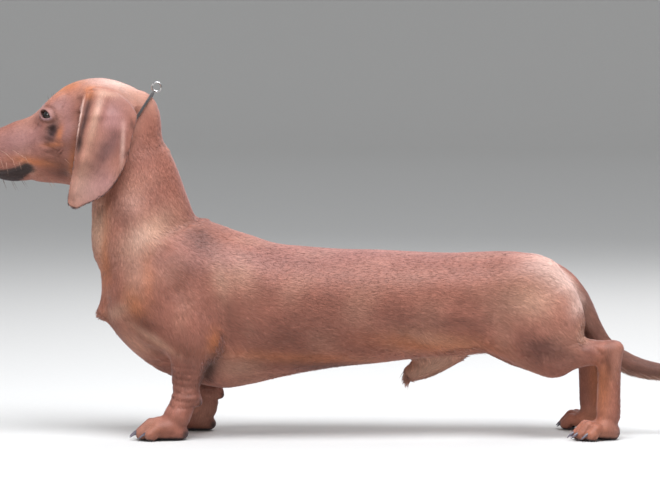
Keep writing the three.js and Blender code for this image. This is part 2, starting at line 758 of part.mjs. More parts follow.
// Fewer facets for the same shape: edges fold up where the surface is flattest
function simplify({ points, triangles }, target, weight = () => 1, limit = Infinity) {
  const faces = triangles.map((face) => face.slice());
  const alive = new Uint8Array(faces.length).fill(1);
  const around = points.map(() => new Set());
  faces.forEach((face, f) => face.forEach((v) => around[v].add(f)));
  const quadrics = points.map(() => new Float64Array(10));
  const between = (a, b) => [b[0] - a[0], b[1] - a[1], b[2] - a[2]];
  const normalOf = (a, b, c) => cross(between(a, b), between(a, c));
  for (const face of faces) {
    const raw = normalOf(points[face[0]], points[face[1]], points[face[2]]);
    const area = Math.hypot(...raw) + 1e-12;
    const [a, b, c] = raw.map((v) => v / area);
    const d = -dot([a, b, c], points[face[0]]);
    const w = area * weight(points[face[0]]);
    const terms = [a * a, a * b, a * c, a * d, b * b, b * c, b * d, c * c, c * d, d * d];
    for (const v of face) {
      terms.forEach((term, i) => {
        quadrics[v][i] += term * w;
      });
    }
  }
  const shapeOf = (corners) => {
    const longest = Math.max(...[0, 1, 2].map((i) => Math.hypot(
      ...[0, 1, 2].map((d) => corners[i][d] - corners[(i + 1) % 3][d]))));
    return Math.hypot(...normalOf(...corners)) / (longest * longest);
  };
  const costAt = (q, [x, y, z]) => q[0] * x * x + 2 * q[1] * x * y + 2 * q[2] * x * z + 2 * q[3] * x
    + q[4] * y * y + 2 * q[5] * y * z + 2 * q[6] * y + q[7] * z * z + 2 * q[8] * z + q[9];
  const stamp = new Int32Array(points.length);
  const queue = new EdgeQueue();
  const consider = (u, v) => {
    const q = quadrics[u].map((value, i) => value + quadrics[v][i]);
    const a = points[u];
    const b = points[v];
    const middle = [(a[0] + b[0]) / 2, (a[1] + b[1]) / 2, (a[2] + b[2]) / 2];
    const length = Math.hypot(a[0] - b[0], a[1] - b[1], a[2] - b[2]);
    let place = middle;
    const det = q[0] * (q[4] * q[7] - q[5] * q[5]) - q[1] * (q[1] * q[7] - q[5] * q[2])
      + q[2] * (q[1] * q[5] - q[4] * q[2]);
    if (Math.abs(det) > 1e-3 * (q[0] + q[4] + q[7]) ** 3) {
      const [rx, ry, rz] = [-q[3], -q[6], -q[8]];
      const x = (rx * (q[4] * q[7] - q[5] * q[5]) - q[1] * (ry * q[7] - q[5] * rz)
        + q[2] * (ry * q[5] - q[4] * rz)) / det;
      const y = (q[0] * (ry * q[7] - rz * q[5]) - rx * (q[1] * q[7] - q[5] * q[2])
        + q[2] * (q[1] * rz - ry * q[2])) / det;
      const z = (q[0] * (q[4] * rz - q[5] * ry) - q[1] * (q[1] * rz - ry * q[2])
        + rx * (q[1] * q[5] - q[4] * q[2])) / det;
      if (Math.hypot(x - middle[0], y - middle[1], z - middle[2]) < length * 1.5) {
        place = [x, y, z];
      }
    } else {
      for (const choice of [a, b]) {
        if (costAt(q, choice) < costAt(q, place)) {
          place = choice;
        }
      }
    }
    const cost = Math.max(costAt(q, place), 0) + 1e-5 * length ** 4;
    queue.push({ cost, u, v, place, q, stamps: stamp[u] + stamp[v] * 65536 });
  };
  const seen = new Set();
  for (const face of faces) {
    for (let i = 0; i < 3; i += 1) {
      const u = Math.min(face[i], face[(i + 1) % 3]);
      const v = Math.max(face[i], face[(i + 1) % 3]);
      const key = u * points.length + v;
      if (!seen.has(key)) {
        seen.add(key);
        consider(u, v);
      }
    }
  }
  const ringOf = (v) => {
    const ring = new Set();
    around[v].forEach((f) => faces[f].forEach((w) => ring.add(w)));
    ring.delete(v);
    return ring;
  };
  let count = faces.length;
  while (count > target && queue.items.length > 0) {
    const { cost, u, v, place, q, stamps } = queue.pop();
    if (cost > limit) {
      break;
    }
    if (stamps !== stamp[u] + stamp[v] * 65536 || around[u].size === 0 || around[v].size === 0) {
      continue;
    }
    const ringU = ringOf(u);
    if (!ringU.has(v)) {
      continue;
    }
    let shared = 0;
    ringOf(v).forEach((w) => {
      shared += ringU.has(w) ? 1 : 0;
    });
    if (shared !== 2) {
      continue;
    }
    let fits = true;
    for (const [centre, other] of [[u, v], [v, u]]) {
      for (const f of around[centre]) {
        const face = faces[f];
        if (face.includes(other)) {
          continue;
        }
        const before = normalOf(...face.map((w) => points[w]));
        const corners = face.map((w) => (w === centre ? place : points[w]));
        const after = normalOf(...corners);
        const sizes = Math.hypot(...before) * Math.hypot(...after);
        const flipped = Math.hypot(...before) > 1e-3 && dot(before, after) < 0.35 * sizes;
        if (flipped || shapeOf(corners) < Math.min(0.06, 0.9 * shapeOf(face.map((w) => points[w])))) {
          fits = false;
          break;
        }
      }
    }
    if (!fits) {
      continue;
    }
    points[u] = place;
    quadrics[u] = q;
    for (const f of around[v]) {
      if (faces[f].includes(u)) {
        alive[f] = 0;
        count -= 1;
        faces[f].forEach((w) => around[w].delete(f));
      } else {
        faces[f][faces[f].indexOf(v)] = u;
        around[u].add(f);
      }
    }
    around[v].clear();
    stamp[u] += 1;
    stamp[v] += 1;
    ringOf(u).forEach((w) => consider(u, w));
  }
  return { points, triangles: faces.filter((_, f) => alive[f]) };
}

// Joining and cutting of closed solids

function solidOf({ points, triangles }) {
  const index = new Map();
  const kept = [];
  const triVerts = new Uint32Array(triangles.length * 3);
  triangles.flat().forEach((v, i) => {
    if (!index.has(v)) {
      index.set(v, kept.length);
      kept.push(points[v]);
    }
    triVerts[i] = index.get(v);
  });
  const vertProperties = new Float32Array(kept.flat());
  return new wasm.Manifold(new wasm.Mesh({ numProp: 3, vertProperties, triVerts }));
}

function solidOfGeometry(geometry, matrix = new THREE.Matrix4()) {
  const plain = geometry.clone();
  plain.deleteAttribute('normal');
  plain.deleteAttribute('uv');
  plain.applyMatrix4(matrix);
  const merged = mergeVertices(plain, 1e-4);
  return new wasm.Manifold(new wasm.Mesh({
    numProp: 3,
    vertProperties: new Float32Array(merged.attributes.position.array),
    triVerts: new Uint32Array(merged.index.array),
  }));
}

// A box cutter given by its limits
function block(x0, x1, y0, y1, z0, z1, grow = 0) {
  const geometry = new THREE.BoxGeometry(x1 - x0 + 2 * grow, y1 - y0 + 2 * grow, z1 - z0 + 2 * grow);
  const matrix = new THREE.Matrix4().makeTranslation((x0 + x1) / 2, (y0 + y1) / 2, (z0 + z1) / 2);
  return solidOfGeometry(geometry, matrix);
}

// Everything in front of a plane that stands across the mid-plane, out to a far box
function beyond(px, pz, nx, nz, grow = 0) {
  const size = 1400;
  const [ux, , uz] = unit([nx, 0, nz]);
  const geometry = new THREE.BoxGeometry(size, size, size);
  const matrix = new THREE.Matrix4().makeTranslation(px - ux * grow, 0, pz - uz * grow)
    .multiply(new THREE.Matrix4().makeRotationY(-Math.atan2(uz, ux)))
    .multiply(new THREE.Matrix4().makeTranslation(size / 2, 0, 0));
  return solidOfGeometry(geometry, matrix);
}

// Six times the volume, to tell the main piece of a cut solid from its scraps
function bulk(solid) {
  const { vertProperties, triVerts } = solid.getMesh();
  const at = (i) => [0, 1, 2].map((d) => vertProperties[3 * triVerts[i] + d]);
  let sum = 0;
  for (let i = 0; i < triVerts.length; i += 3) {
    sum += dot(at(i), cross(at(i + 1), at(i + 2)));
  }
  return sum;
}

function mainPiece(solid) {
  return solid.decompose().reduce((best, piece) => (bulk(piece) > bulk(best) ? piece : best));
}

const model = new THREE.Group();
const coat = { color: 0x7a3a1c, roughness: 0.62, metalness: 0 };
const looks = {
  coat,
  horn: { color: 0x2a2524, roughness: 0.4, metalness: 0 },
  nose: { color: 0x1c1716, roughness: 0.45, metalness: 0 },
  eye: { color: 0x2a140a, roughness: 0.08, metalness: 0 },
  cord: { color: 0x1d1b1c, roughness: 0.6, metalness: 0 },
  metal: { color: 0xb8b8b8, roughness: 0.25, metalness: 1 },
};

// Where two sheets of a surface touch at a corner, each is drawn back a little into the solid
function partTouching({ points, triangles }) {
  const places = new Map();
  points.forEach((point, v) => {
    const key = point.map((value) => value.toFixed(3)).join();
    places.set(key, [...(places.get(key) ?? []), v]);
  });
  const touching = new Set([...places.values()].filter((group) => group.length > 1).flat());
  const shifts = new Map();
  for (const [a, b, c] of triangles) {
    const corners = [a, b, c].filter((v) => touching.has(v));
    if (corners.length === 0) {
      continue;
    }
    const side = (v) => [0, 1, 2].map((d) => points[v][d] - points[a][d]);
    const normal = cross(side(b), side(c));
    for (const v of corners) {
      const sum = shifts.get(v) ?? [0, 0, 0];
      shifts.set(v, sum.map((value, d) => value + normal[d]));
    }
  }
  shifts.forEach((normal, v) => {
    const inward = unit(normal);
    points[v] = points[v].map((value, d) => value - 0.04 * inward[d]);
  });
}

// The main piece of a solid with the slivers of its cuts folded up
function tidied(solid) {
  const { vertProperties, triVerts } = mainPiece(solid).getMesh();
  const points = [];
  for (let i = 0; i < vertProperties.length; i += 3) {
    points.push([vertProperties[i], vertProperties[i + 1], vertProperties[i + 2]]);
  }
  const triangles = [];
  for (let i = 0; i < triVerts.length; i += 3) {
    triangles.push([triVerts[i], triVerts[i + 1], triVerts[i + 2]]);
  }
  const clean = simplify({ points, triangles }, 20, () => 1, sliverLimit);
  partTouching(clean);
  return solidOf(clean).getMesh();
}

function addNode(name, solid, look = 'coat') {
  const { vertProperties, triVerts } = tidied(solid);
  const geometry = new THREE.BufferGeometry();
  geometry.setAttribute('position', new THREE.BufferAttribute(new Float32Array(vertProperties), 3));
  geometry.setIndex(new THREE.BufferAttribute(new Uint32Array(triVerts), 1));
  geometry.computeVertexNormals();
  const mesh = new THREE.Mesh(geometry, new THREE.MeshStandardMaterial(looks[look]));
  mesh.name = name;
  model.add(mesh);
}

const surfaceSolid = (box, cell, target, weight) => (
  solidOf(simplify(surfaceOf(bodyField, box, cell), target, weight)));

// Planes that part the head, the neck, the trunk and the tail

const half = gap / 2;
const behindHead = (grow) => beyond(-236, 297, 0.869, -0.494, grow);
const belowNeck = (grow) => beyond(-214, 192, 0.54, -0.84, grow);
const behindChest = (grow) => beyond(-60, 100, 1, 0, grow);
const behindLoin = (grow) => beyond(110, 100, 1, 0, grow);
const noseFront = (grow) => beyond(-382.5, 298, -0.93, 0.37, grow)
  .intersect(block(-440, -340, -40, 40, 287.5, 340, grow));
const limbBlock = (side, x0, x1, y0, z0, z1, grow) => (side < 0
  ? block(x0, x1, -90, -y0, z0, z1, grow)
  : block(x0, x1, y0, 90, z0, z1, grow));
const foreRegion = (side, grow) => limbBlock(side, -256, -126, 38, -5, 186, grow).intersect(belowNeck(grow));
const hindRegion = (side, grow) => limbBlock(side, 112, 300, 24, -5, 170, grow);
const tailRegion = (grow) => block(204, 420, -24 + gap, 24 - gap, 0, 150, grow)
  .intersect(beyond(212, 136, 0.54, -0.84, grow));

// A thin slip collar lying round the upper neck behind the ears, and its ring at the nape

function collarCentre(angle) {
  const middle = [-250, 0, 297];
  const up = unit([0.523, 0, 0.852]);
  const ray = [up[0] * Math.cos(angle), Math.sin(angle), up[2] * Math.cos(angle)];
  let reach = 20;
  while (bodyField(middle[0] + ray[0] * reach, ray[1] * reach, middle[2] + ray[2] * reach) < 0) {
    reach += 0.25;
  }
  const out = reach + collarRadius + collarLift;
  return new THREE.Vector3(middle[0] + ray[0] * out, ray[1] * out, middle[2] + ray[2] * out);
}

function closedBar(centres, radius, sides) {
  const count = centres.length;
  const points = [];
  const centre = centres.reduce((sum, p) => sum.add(p), new THREE.Vector3()).multiplyScalar(1 / count);
  centres.forEach((p, i) => {
    const along = centres[(i + 1) % count].clone().sub(centres[(i + count - 1) % count]).normalize();
    const out = p.clone().sub(centre);
    out.addScaledVector(along, -out.dot(along)).normalize();
    const across = new THREE.Vector3().crossVectors(along, out);
    for (let j = 0; j < sides; j += 1) {
      const angle = (2 * Math.PI * j) / sides;
      points.push(p.clone().addScaledVector(out, radius * Math.cos(angle))
        .addScaledVector(across, radius * Math.sin(angle)).toArray());
    }
  });
  const triangles = [];
  const at = (i, j) => (i % count) * sides + (j % sides);
  for (let i = 0; i < count; i += 1) {
    for (let j = 0; j < sides; j += 1) {
      triangles.push([at(i, j), at(i + 1, j), at(i + 1, j + 1)], [at(i, j), at(i + 1, j + 1), at(i, j + 1)]);
    }
  }
  const solid = solidOf({ points, triangles });
  return bulk(solid) > 0 ? solid : solidOf({ points, triangles: triangles.map(([a, b, c]) => [a, c, b]) });
}

const collarPoints = [];
for (let i = 0; i < 36; i += 1) {
  collarPoints.push(collarCentre((2 * Math.PI * i) / 36));
}
const collarBar = (grow) => closedBar(collarPoints, collarRadius + grow, 5);

// Ears: a folded sheet hanging from the side of the skull, drawn in side view

const earOutline = [
  [-282, 353.5], [-287, 339], [-291, 318.5], [-294, 293.5], [-298, 268], [-302.3, 245.3], [-301, 237.3],
  [-294, 233.3], [-285, 237.3], [-274, 242.3], [-264.3, 248], [-253.4, 260], [-244.5, 275.7], [-239.6, 288.6],
  [-235.6, 308.3], [-231.7, 322], [-232.7, 330], [-239.6, 340], [-249.5, 348], [-259.4, 352], [-269.2, 354],
];

// Forms of the ear in side view: points, half width, height over the sheet
const earForms = [
  {
    line: [[-266, 360], [-271.5, 330], [-276.5, 313], [-281, 297], [-286, 281], [-297, 240]],
    width: 6,
    height: 3,
  },
  { line: [[-278, 356], [-283, 334], [-286, 318], [-289.2, 306], [-291, 290]], width: 3.6, height: -3 },
  { line: [[-251, 311], [-258.5, 297], [-267, 284.5], [-276, 270]], width: 7, height: -2.6 },
  {
    line: [[-246, 319], [-244.5, 303], [-245, 289], [-249, 275], [-257, 259], [-268, 246]],
    width: 4,
    height: 2.2,
  },
];

// Outermost reach of the head and neck at a place in side view
function flank(x, z) {
  let y = 62;
  while (y > 4 && bodyField(x, -y, z) > 0) {
    y -= 0.5;
  }
  return y;
}

// The wall that the ear hangs over: the flank, swollen and smoothed, in a table with a step of 4 mm
const wallStart = [-324, 220];
const wallCount = [30, 38];
const wallAt = [];
for (let i = 0; i < wallCount[0]; i += 1) {
  wallAt.push([]);
  for (let k = 0; k < wallCount[1]; k += 1) {
    wallAt[i].push(flank(wallStart[0] + 4 * i, wallStart[1] + 4 * k));
  }
}
const nearWall = (table, i, k) => [-1, 0, 1].flatMap((a) => [-1, 0, 1].map((b) => (
  table[clamp(i + a, 0, wallCount[0] - 1)][clamp(k + b, 0, wallCount[1] - 1)])));
const swollenWall = wallAt.map((row, i) => row.map((_, k) => Math.max(...nearWall(wallAt, i, k))));
const smoothWall = swollenWall.map((row, i) => row.map((value, k) => {
  const around = nearWall(swollenWall, i, k);
  return Math.max(around.reduce((sum, v) => sum + v, 0) / around.length, wallAt[i][k]);
}));

function wallHeight(x, z) {
  const u = clamp((x - wallStart[0]) / 4, 0, wallCount[0] - 1.001);
  const w = clamp((z - wallStart[1]) / 4, 0, wallCount[1] - 1.001);
  const i = Math.floor(u);
  const k = Math.floor(w);
  const [a, b] = [u - i, w - k];
  return (smoothWall[i][k] * (1 - a) + smoothWall[i + 1][k] * a) * (1 - b)
    + (smoothWall[i][k + 1] * (1 - a) + smoothWall[i + 1][k + 1] * a) * b;
}

function outlineDistance(outline, x, z) {
  let inside = false;
  outline.forEach(([ax, az], i) => {
    const [bx, bz] = outline[(i + 1) % outline.length];
    if ((az > z) !== (bz > z) && x < ax + ((z - az) * (bx - ax)) / (bz - az)) {
      inside = !inside;
    }
  });
  return (inside ? -1 : 1) * lineDistance([...outline, outline[0]], x, z);
}

const drape = [
  [230, 43.5], [250, 45], [275, 46], [300, 46.5], [318, 46.3], [330, 45], [338, 42.5], [345, 38.8], [350, 35],
  [355, 30],
];
const drapeCurve = rowCurve(drape, drape.map((row) => row[0]));

const seatDepth = (z) => earSeatDepth - earSeatSlant * (clamp(z, earSeatBottom, 360) - 338);

// The ear as a field; at its root it is filled in as far as its seat on the skull
function earField(x, y, z) {
  const edge = outlineDistance(earOutline, x, z);
  const root = smoothStep(326, 344, z);
  const full = earThickness + 1.5 * root;
  const thick = full - 1.4 * smoothStep(-6, 0, edge) * (1 - root);
  let relief = 1.8;
  for (const { line, width, height } of earForms) {
    relief += height * Math.exp(-((lineDistance(line, x, z) / width) ** 2));
  }
  const low = wallHeight(x, z) + earClearance + full / 2 + 0.8 - 9 * root;
  const middle = smoothMax(drapeCurve(clamp(z, 230, 355))[1], low, 4) + relief * (1 - 0.6 * root);
  const out = Math.abs(y) - middle;
  const fill = 14 * smoothStep(earSeatBottom + 1.2, earSeatBottom + 9, z);
  const sheet = (Math.max(out, -out - fill) - thick / 2) * 0.85;
  return Math.max(smoothMax(sheet, edge, 1.6), seatDepth(z) + 0.5 - Math.abs(y));
}

// The seat of the ear root, cut into the side of the skull
const seatField = (x, y, z) => Math.max(outlineDistance(earOutline, x, z) - earSeatRoom,
  seatDepth(z) - Math.abs(y), earSeatBottom - z);

const earBox = (side, inner) => (side < 0
  ? [-314, -222, -66, -inner, 224, 372]
  : [-314, -222, inner, 66, 224, 372]);
const earSeat = (side) => solidOf(simplify(surfaceOf(seatField, earBox(side, 24), 1.7), 260));

// Head, nose, eyes

function headWeight(p) {
  const nearEye = Math.hypot(p[0] + 326, Math.abs(p[1]) - 27, p[2] - 327) < 14;
  const nearMouth = p[0] < -332 && p[2] < 286;
  const nearNose = p[0] < -376;
  return nearEye ? 14 : nearNose ? 8 : nearMouth ? 7 : 1;
}

const wholeHead = surfaceSolid([-412, -196, -56, 56, 206, 380], 1.6, 3050, headWeight);
const eyeBall = (side, grow) => {
  const geometry = new THREE.SphereGeometry(eyeRadius + grow, 14, 9);
  const { centre, out } = eyeFrames[side];
  const ahead = new THREE.Vector3(...out);
  const turn = new THREE.Quaternion().setFromUnitVectors(new THREE.Vector3(0, 1, 0), ahead);
  const matrix = new THREE.Matrix4().compose(new THREE.Vector3(...centre), turn, new THREE.Vector3(1, 1, 1));
  return solidOfGeometry(geometry, matrix);
};
let head = wholeHead.subtract(behindHead(half)).subtract(noseFront(gap)).subtract(collarBar(gap));
for (const side of [sideLeft, sideRight]) {
  head = head.subtract(eyeBall(side, gap + 0.1)).subtract(earSeat(side));
}
addNode('head', head);
addNode('nose', wholeHead.intersect(noseFront(0)), 'nose');
addNode('eye_left', eyeBall(sideLeft, 0), 'eye');
addNode('eye_right', eyeBall(sideRight, 0), 'eye');

for (const side of [sideLeft, sideRight]) {
  const ear = solidOf(simplify(surfaceOf(earField, earBox(side, 26), 1.7), 900));
  addNode(side < 0 ? 'ear_left' : 'ear_right', ear.subtract(collarBar(gap + 0.1)));
}

// Neck and trunk

const wholeNeck = surfaceSolid([-300, -150, -62, 62, 130, 366], 4, 700);
addNode('neck', wholeNeck.intersect(behindHead(-half)).subtract(belowNeck(half)).subtract(collarBar(gap)));

let trunk = surfaceSolid([-300, 236, -86, 86, 40, 232], 4, 2500).intersect(belowNeck(-half));
const limbs = {};
for (const side of [sideLeft, sideRight]) {
  limbs[side] = { fore: trunk.intersect(foreRegion(side, 0)), hind: trunk.intersect(hindRegion(side, 0)) };
}
for (const side of [sideLeft, sideRight]) {
  trunk = trunk.subtract(foreRegion(side, gap)).subtract(hindRegion(side, gap));
}
trunk = trunk.subtract(tailRegion(gap)).subtract(block(30, 100, -20, 20, 40, 72.5, gap));
addNode('chest', trunk.subtract(behindChest(half)));
addNode('loin', trunk.intersect(behindChest(-half)).subtract(behindLoin(half)));
addNode('croup', trunk.intersect(behindLoin(-half)));

const sheathRegion = (grow) => block(30, 100, -20, 20, 40, 72.5, grow);
addNode('sheath', surfaceSolid([24, 108, -20, 20, 40, 84], 2.5, 200).intersect(sheathRegion(0)));

const tail = surfaceSolid([190, 412, -26, 26, 40, 170], 3, 440).intersect(tailRegion(0));
addNode('tail_root', tail.subtract(beyond(262, 76, 0.85, -0.5, half)));
const behindTailRoot = tail.intersect(beyond(262, 76, 0.85, -0.5, -half));
addNode('tail_middle', behindTailRoot.subtract(beyond(330, 62, 1, 0, half)));
addNode('tail_tip', tail.intersect(beyond(330, 62, 1, 0, -half)));

// Claws: bent tapering cones rooted in the toes

function clawSolid(foot, toe, grow) {
  const { tip, radius } = toePoints(foot, toe);
  const aim = new THREE.Vector3(-Math.cos(foot.turn), -Math.sin(foot.turn), 0);
  const start = new THREE.Vector3(tip[0], tip[1], tip[2] + 1.6).addScaledVector(aim, radius - 4.2);
  return bentCone(start, aim, clawRadius, 9.5, 5.2, grow);
}

function bentCone(start, aim, radius, length, droop, grow) {
  const rings = 3;
  const sides = 6;
  const points = [];
  const side = new THREE.Vector3().crossVectors(aim, new THREE.Vector3(0, 0, 1)).normalize();
  const up = new THREE.Vector3().crossVectors(side, aim).normalize();
  for (let i = 0; i < rings; i += 1) {
    const s = i / rings;
    const back = i === 0 ? grow : 0;
    const centre = start.clone().addScaledVector(aim, length * s - back).addScaledVector(up, -droop * s * s);
    const r = radius * (1 - 0.8 * s ** 1.4) + grow;
    for (let j = 0; j < sides; j += 1) {
      const angle = (2 * Math.PI * j) / sides;
      const p = centre.clone().addScaledVector(side, r * 0.8 * Math.cos(angle));
      points.push(p.addScaledVector(up, r * Math.sin(angle)).toArray());
    }
  }
  points.push(start.clone().addScaledVector(aim, length + grow).addScaledVector(up, -droop).toArray());
  points.push(start.clone().addScaledVector(aim, -grow).toArray());
  const triangles = [];
  const at = (i, j) => i * sides + (j % sides);
  for (let j = 0; j < sides; j += 1) {
    for (let i = 0; i < rings - 1; i += 1) {
      triangles.push([at(i, j), at(i + 1, j), at(i + 1, j + 1)], [at(i, j), at(i + 1, j + 1), at(i, j + 1)]);
    }
    triangles.push([at(rings - 1, j), rings * sides, at(rings - 1, j + 1)]);
    triangles.push([at(0, j + 1), rings * sides + 1, at(0, j)]);
  }
  return solidOf({ points, triangles });
}

function dewClaw(side, grow) {
  const foot = foreFoot(side);
  const start = new THREE.Vector3(...onFoot(foot, 0, side * -17.5, 16));
  const aim = new THREE.Vector3(-0.8, side * -0.25, -0.55).normalize();
  return bentCone(start, aim, 2.2, 7, 2, grow);
}

// Legs and feet

const above = (level, grow) => block(-300, 300, -120, 120, level, 300, grow);
for (const side of [sideLeft, sideRight]) {
  const tag = side < 0 ? 'left' : 'right';
  const near = side < 0 ? [-86, -20] : [20, 86];
  const foreLeg = surfaceSolid([-250, -120, ...near, -8, 110], 2.2, 900).intersect(foreRegion(side, 0));
  addNode(`upper_arm_${tag}`, limbs[side].fore.intersect(above(96, -half)));
  addNode(`forearm_${tag}`, foreLeg.subtract(above(96, half)).intersect(above(34, -half)));
  let frontPaw = foreLeg.subtract(above(34, half)).intersect(block(-300, 0, -120, 120, 0, 60));
  const hindLeg = surfaceSolid([120, 276, ...near, -8, 128], 2.2, 900).intersect(hindRegion(side, 0));
  const shank = (grow) => beyond(201 + hindLean(side, 92), 92, 0.79, -0.61, grow);
  const hock = (grow) => beyond(231.5 + hindLean(side, 88), 88, 1, 0, grow);
  addNode(`thigh_${tag}`, limbs[side].hind.subtract(shank(half)).intersect(above(40, 0)));
  addNode(`lower_leg_${tag}`, hindLeg.intersect(shank(-half)).subtract(hock(half)).intersect(above(60, 0)));
  const lower = hindLeg.intersect(hock(-half)).add(hindLeg.intersect(block(100, 300, -120, 120, -10, 60)));
  addNode(`hock_${tag}`, lower.intersect(above(25, -half)));
  let hindPaw = lower.subtract(above(25, half)).intersect(block(100, 400, -120, 120, 0, 60));
  const claws = [];
  const feet = [[foreFoot(side), 'front'], [hindFoot(side), 'hind']];
  feet.forEach(([foot, place]) => foot.toes.forEach((toe, i) => {
    claws.push([`claw_${place}_${tag}_${i + 1}`, clawSolid(foot, toe, 0)]);
    if (place === 'front') {
      frontPaw = frontPaw.subtract(clawSolid(foot, toe, gap));
    } else {
      hindPaw = hindPaw.subtract(clawSolid(foot, toe, gap));
    }
  }));
  frontPaw = frontPaw.subtract(dewClaw(side, gap));
  claws.push([`dewclaw_${tag}`, dewClaw(side, 0)]);
  addNode(`front_paw_${tag}`, frontPaw);
  addNode(`hind_paw_${tag}`, hindPaw);
  claws.forEach(([name, solid]) => addNode(name, solid, 'horn'));
}

// The collar and its ring

addNode('collar', collarBar(0), 'cord');
const ringGeometry = new THREE.TorusGeometry(ringRadius, ringWire, 5, 14);
const nape = collarPoints[0];
const ringLift = collarRadius + ringWire + ringRadius + gap;
const ringTurn = new THREE.Matrix4().makeRotationX(Math.PI / 2);
const ringAt = [nape.x + 0.523 * ringLift, 0, nape.z + 0.852 * ringLift];
const ringPlace = new THREE.Matrix4().makeTranslation(...ringAt);
addNode('collar_ring', solidOfGeometry(ringGeometry, ringPlace.multiply(ringTurn)), 'metal');

export default model;
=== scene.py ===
import math

import bpy
import numpy as np
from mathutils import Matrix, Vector


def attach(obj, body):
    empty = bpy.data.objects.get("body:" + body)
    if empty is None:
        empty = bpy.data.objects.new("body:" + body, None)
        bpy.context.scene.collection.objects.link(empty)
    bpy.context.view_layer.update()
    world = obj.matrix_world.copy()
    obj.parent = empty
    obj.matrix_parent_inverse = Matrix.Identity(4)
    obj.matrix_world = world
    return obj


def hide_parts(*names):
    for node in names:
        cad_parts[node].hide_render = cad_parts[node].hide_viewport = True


# A smooth-haired red dachshund, life size, standing in profile. Lengths are in millimetres
# until a mesh is made; the head points to -X and the left side is at -Y.

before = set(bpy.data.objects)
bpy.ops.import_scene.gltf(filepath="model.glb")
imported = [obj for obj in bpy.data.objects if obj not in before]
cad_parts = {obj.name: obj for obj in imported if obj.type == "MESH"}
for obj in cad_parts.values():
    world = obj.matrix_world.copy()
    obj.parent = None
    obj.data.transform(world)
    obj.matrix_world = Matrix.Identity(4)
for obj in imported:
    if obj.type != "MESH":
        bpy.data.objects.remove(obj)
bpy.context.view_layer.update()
print("frame loaded")

# Camera

cameraPlace = {"distance": 4.0, "height": 0.42, "aim": (-0.0377, 0.0, 0.192), "viewWidth": 0.673}


def addCamera():
    aim = Vector(cameraPlace["aim"])
    spot = Vector((aim.x, -cameraPlace["distance"], cameraPlace["height"]))
    data = bpy.data.cameras.new("camera")
    data.sensor_width = 36
    data.lens = 36 * (aim - spot).length / cameraPlace["viewWidth"]
    camera = bpy.data.objects.new("camera", data)
    camera.location = spot
    camera.rotation_euler = (aim - spot).to_track_quat("-Z", "Y").to_euler()
    bpy.context.scene.collection.objects.link(camera)
    bpy.context.scene.camera = camera


addCamera()

# Body shape: the same masses as the solids are made from

# x, top, bottom, half width, widest level, upper and lower fullness
trunkStations = [
    (-265, 146, 118, 12, 0.5, 2, 2), (-260, 158, 110, 26, 0.5, 2, 2), (-252, 173, 99, 38, 0.5, 2, 2),
    (-237, 187, 84, 48, 0.55, 2, 2), (-216, 199, 68, 56, 0.58, 2, 2), (-191, 210, 57, 61, 0.58, 2.1, 1.9),
    (-165, 217, 51, 64, 0.56, 2.1, 1.9), (-145, 213, 48, 66, 0.55, 2.2, 1.9),
    (-119, 205, 52, 68, 0.55, 2.2, 2), (-94, 197, 58, 69, 0.54, 2.2, 2.1),
    (-68, 194, 64, 69, 0.54, 2.2, 2.2), (-28, 191, 70, 67, 0.53, 2.2, 2.2),
    (13, 190, 74, 64, 0.52, 2.2, 2.2), (54, 188, 79, 60, 0.52, 2.2, 2.2), (85, 187, 81, 56, 0.52, 2.2, 2.2),
    (115, 188, 83.5, 53, 0.55, 2.2, 2.1), (140, 188.5, 86, 52, 0.56, 2.2, 2),
    (160, 187, 92, 49, 0.55, 2.1, 2), (178, 181, 100, 44, 0.54, 2, 2), (194, 171, 109, 36, 0.52, 2, 2),
    (207, 158, 120, 27, 0.5, 2, 2), (215, 146, 132, 14, 0.5, 2, 2),
]
headStations = [
    (-388, 305, 275.5, 11, 0.45, 2, 2.2), (-384, 309, 267, 14.5, 0.42, 2, 2.2),
    (-378, 312.5, 262, 17.5, 0.4, 2.1, 2.3), (-369, 316, 258.8, 19, 0.38, 2.2, 2.4),
    (-359, 320.5, 257.8, 20.5, 0.38, 2.2, 2.4), (-349, 323.5, 259, 23, 0.38, 2.1, 2.3),
    (-341, 327, 260, 26.5, 0.4, 2.1, 2.2), (-334, 332.5, 259, 30, 0.42, 2.1, 2.2),
    (-326, 341, 258, 33, 0.44, 2.1, 2.1), (-317, 349, 257.5, 36, 0.46, 2.1, 2.1),
    (-306, 357, 256, 39, 0.48, 2.1, 2), (-292, 362.5, 252, 41, 0.5, 2.1, 2),
    (-272, 365, 249, 41, 0.52, 2.1, 2), (-254, 362, 253, 38, 0.54, 2.1, 2),
    (-241, 356, 266, 31, 0.55, 2, 2), (-233, 349, 284, 21, 0.5, 2, 2),
]
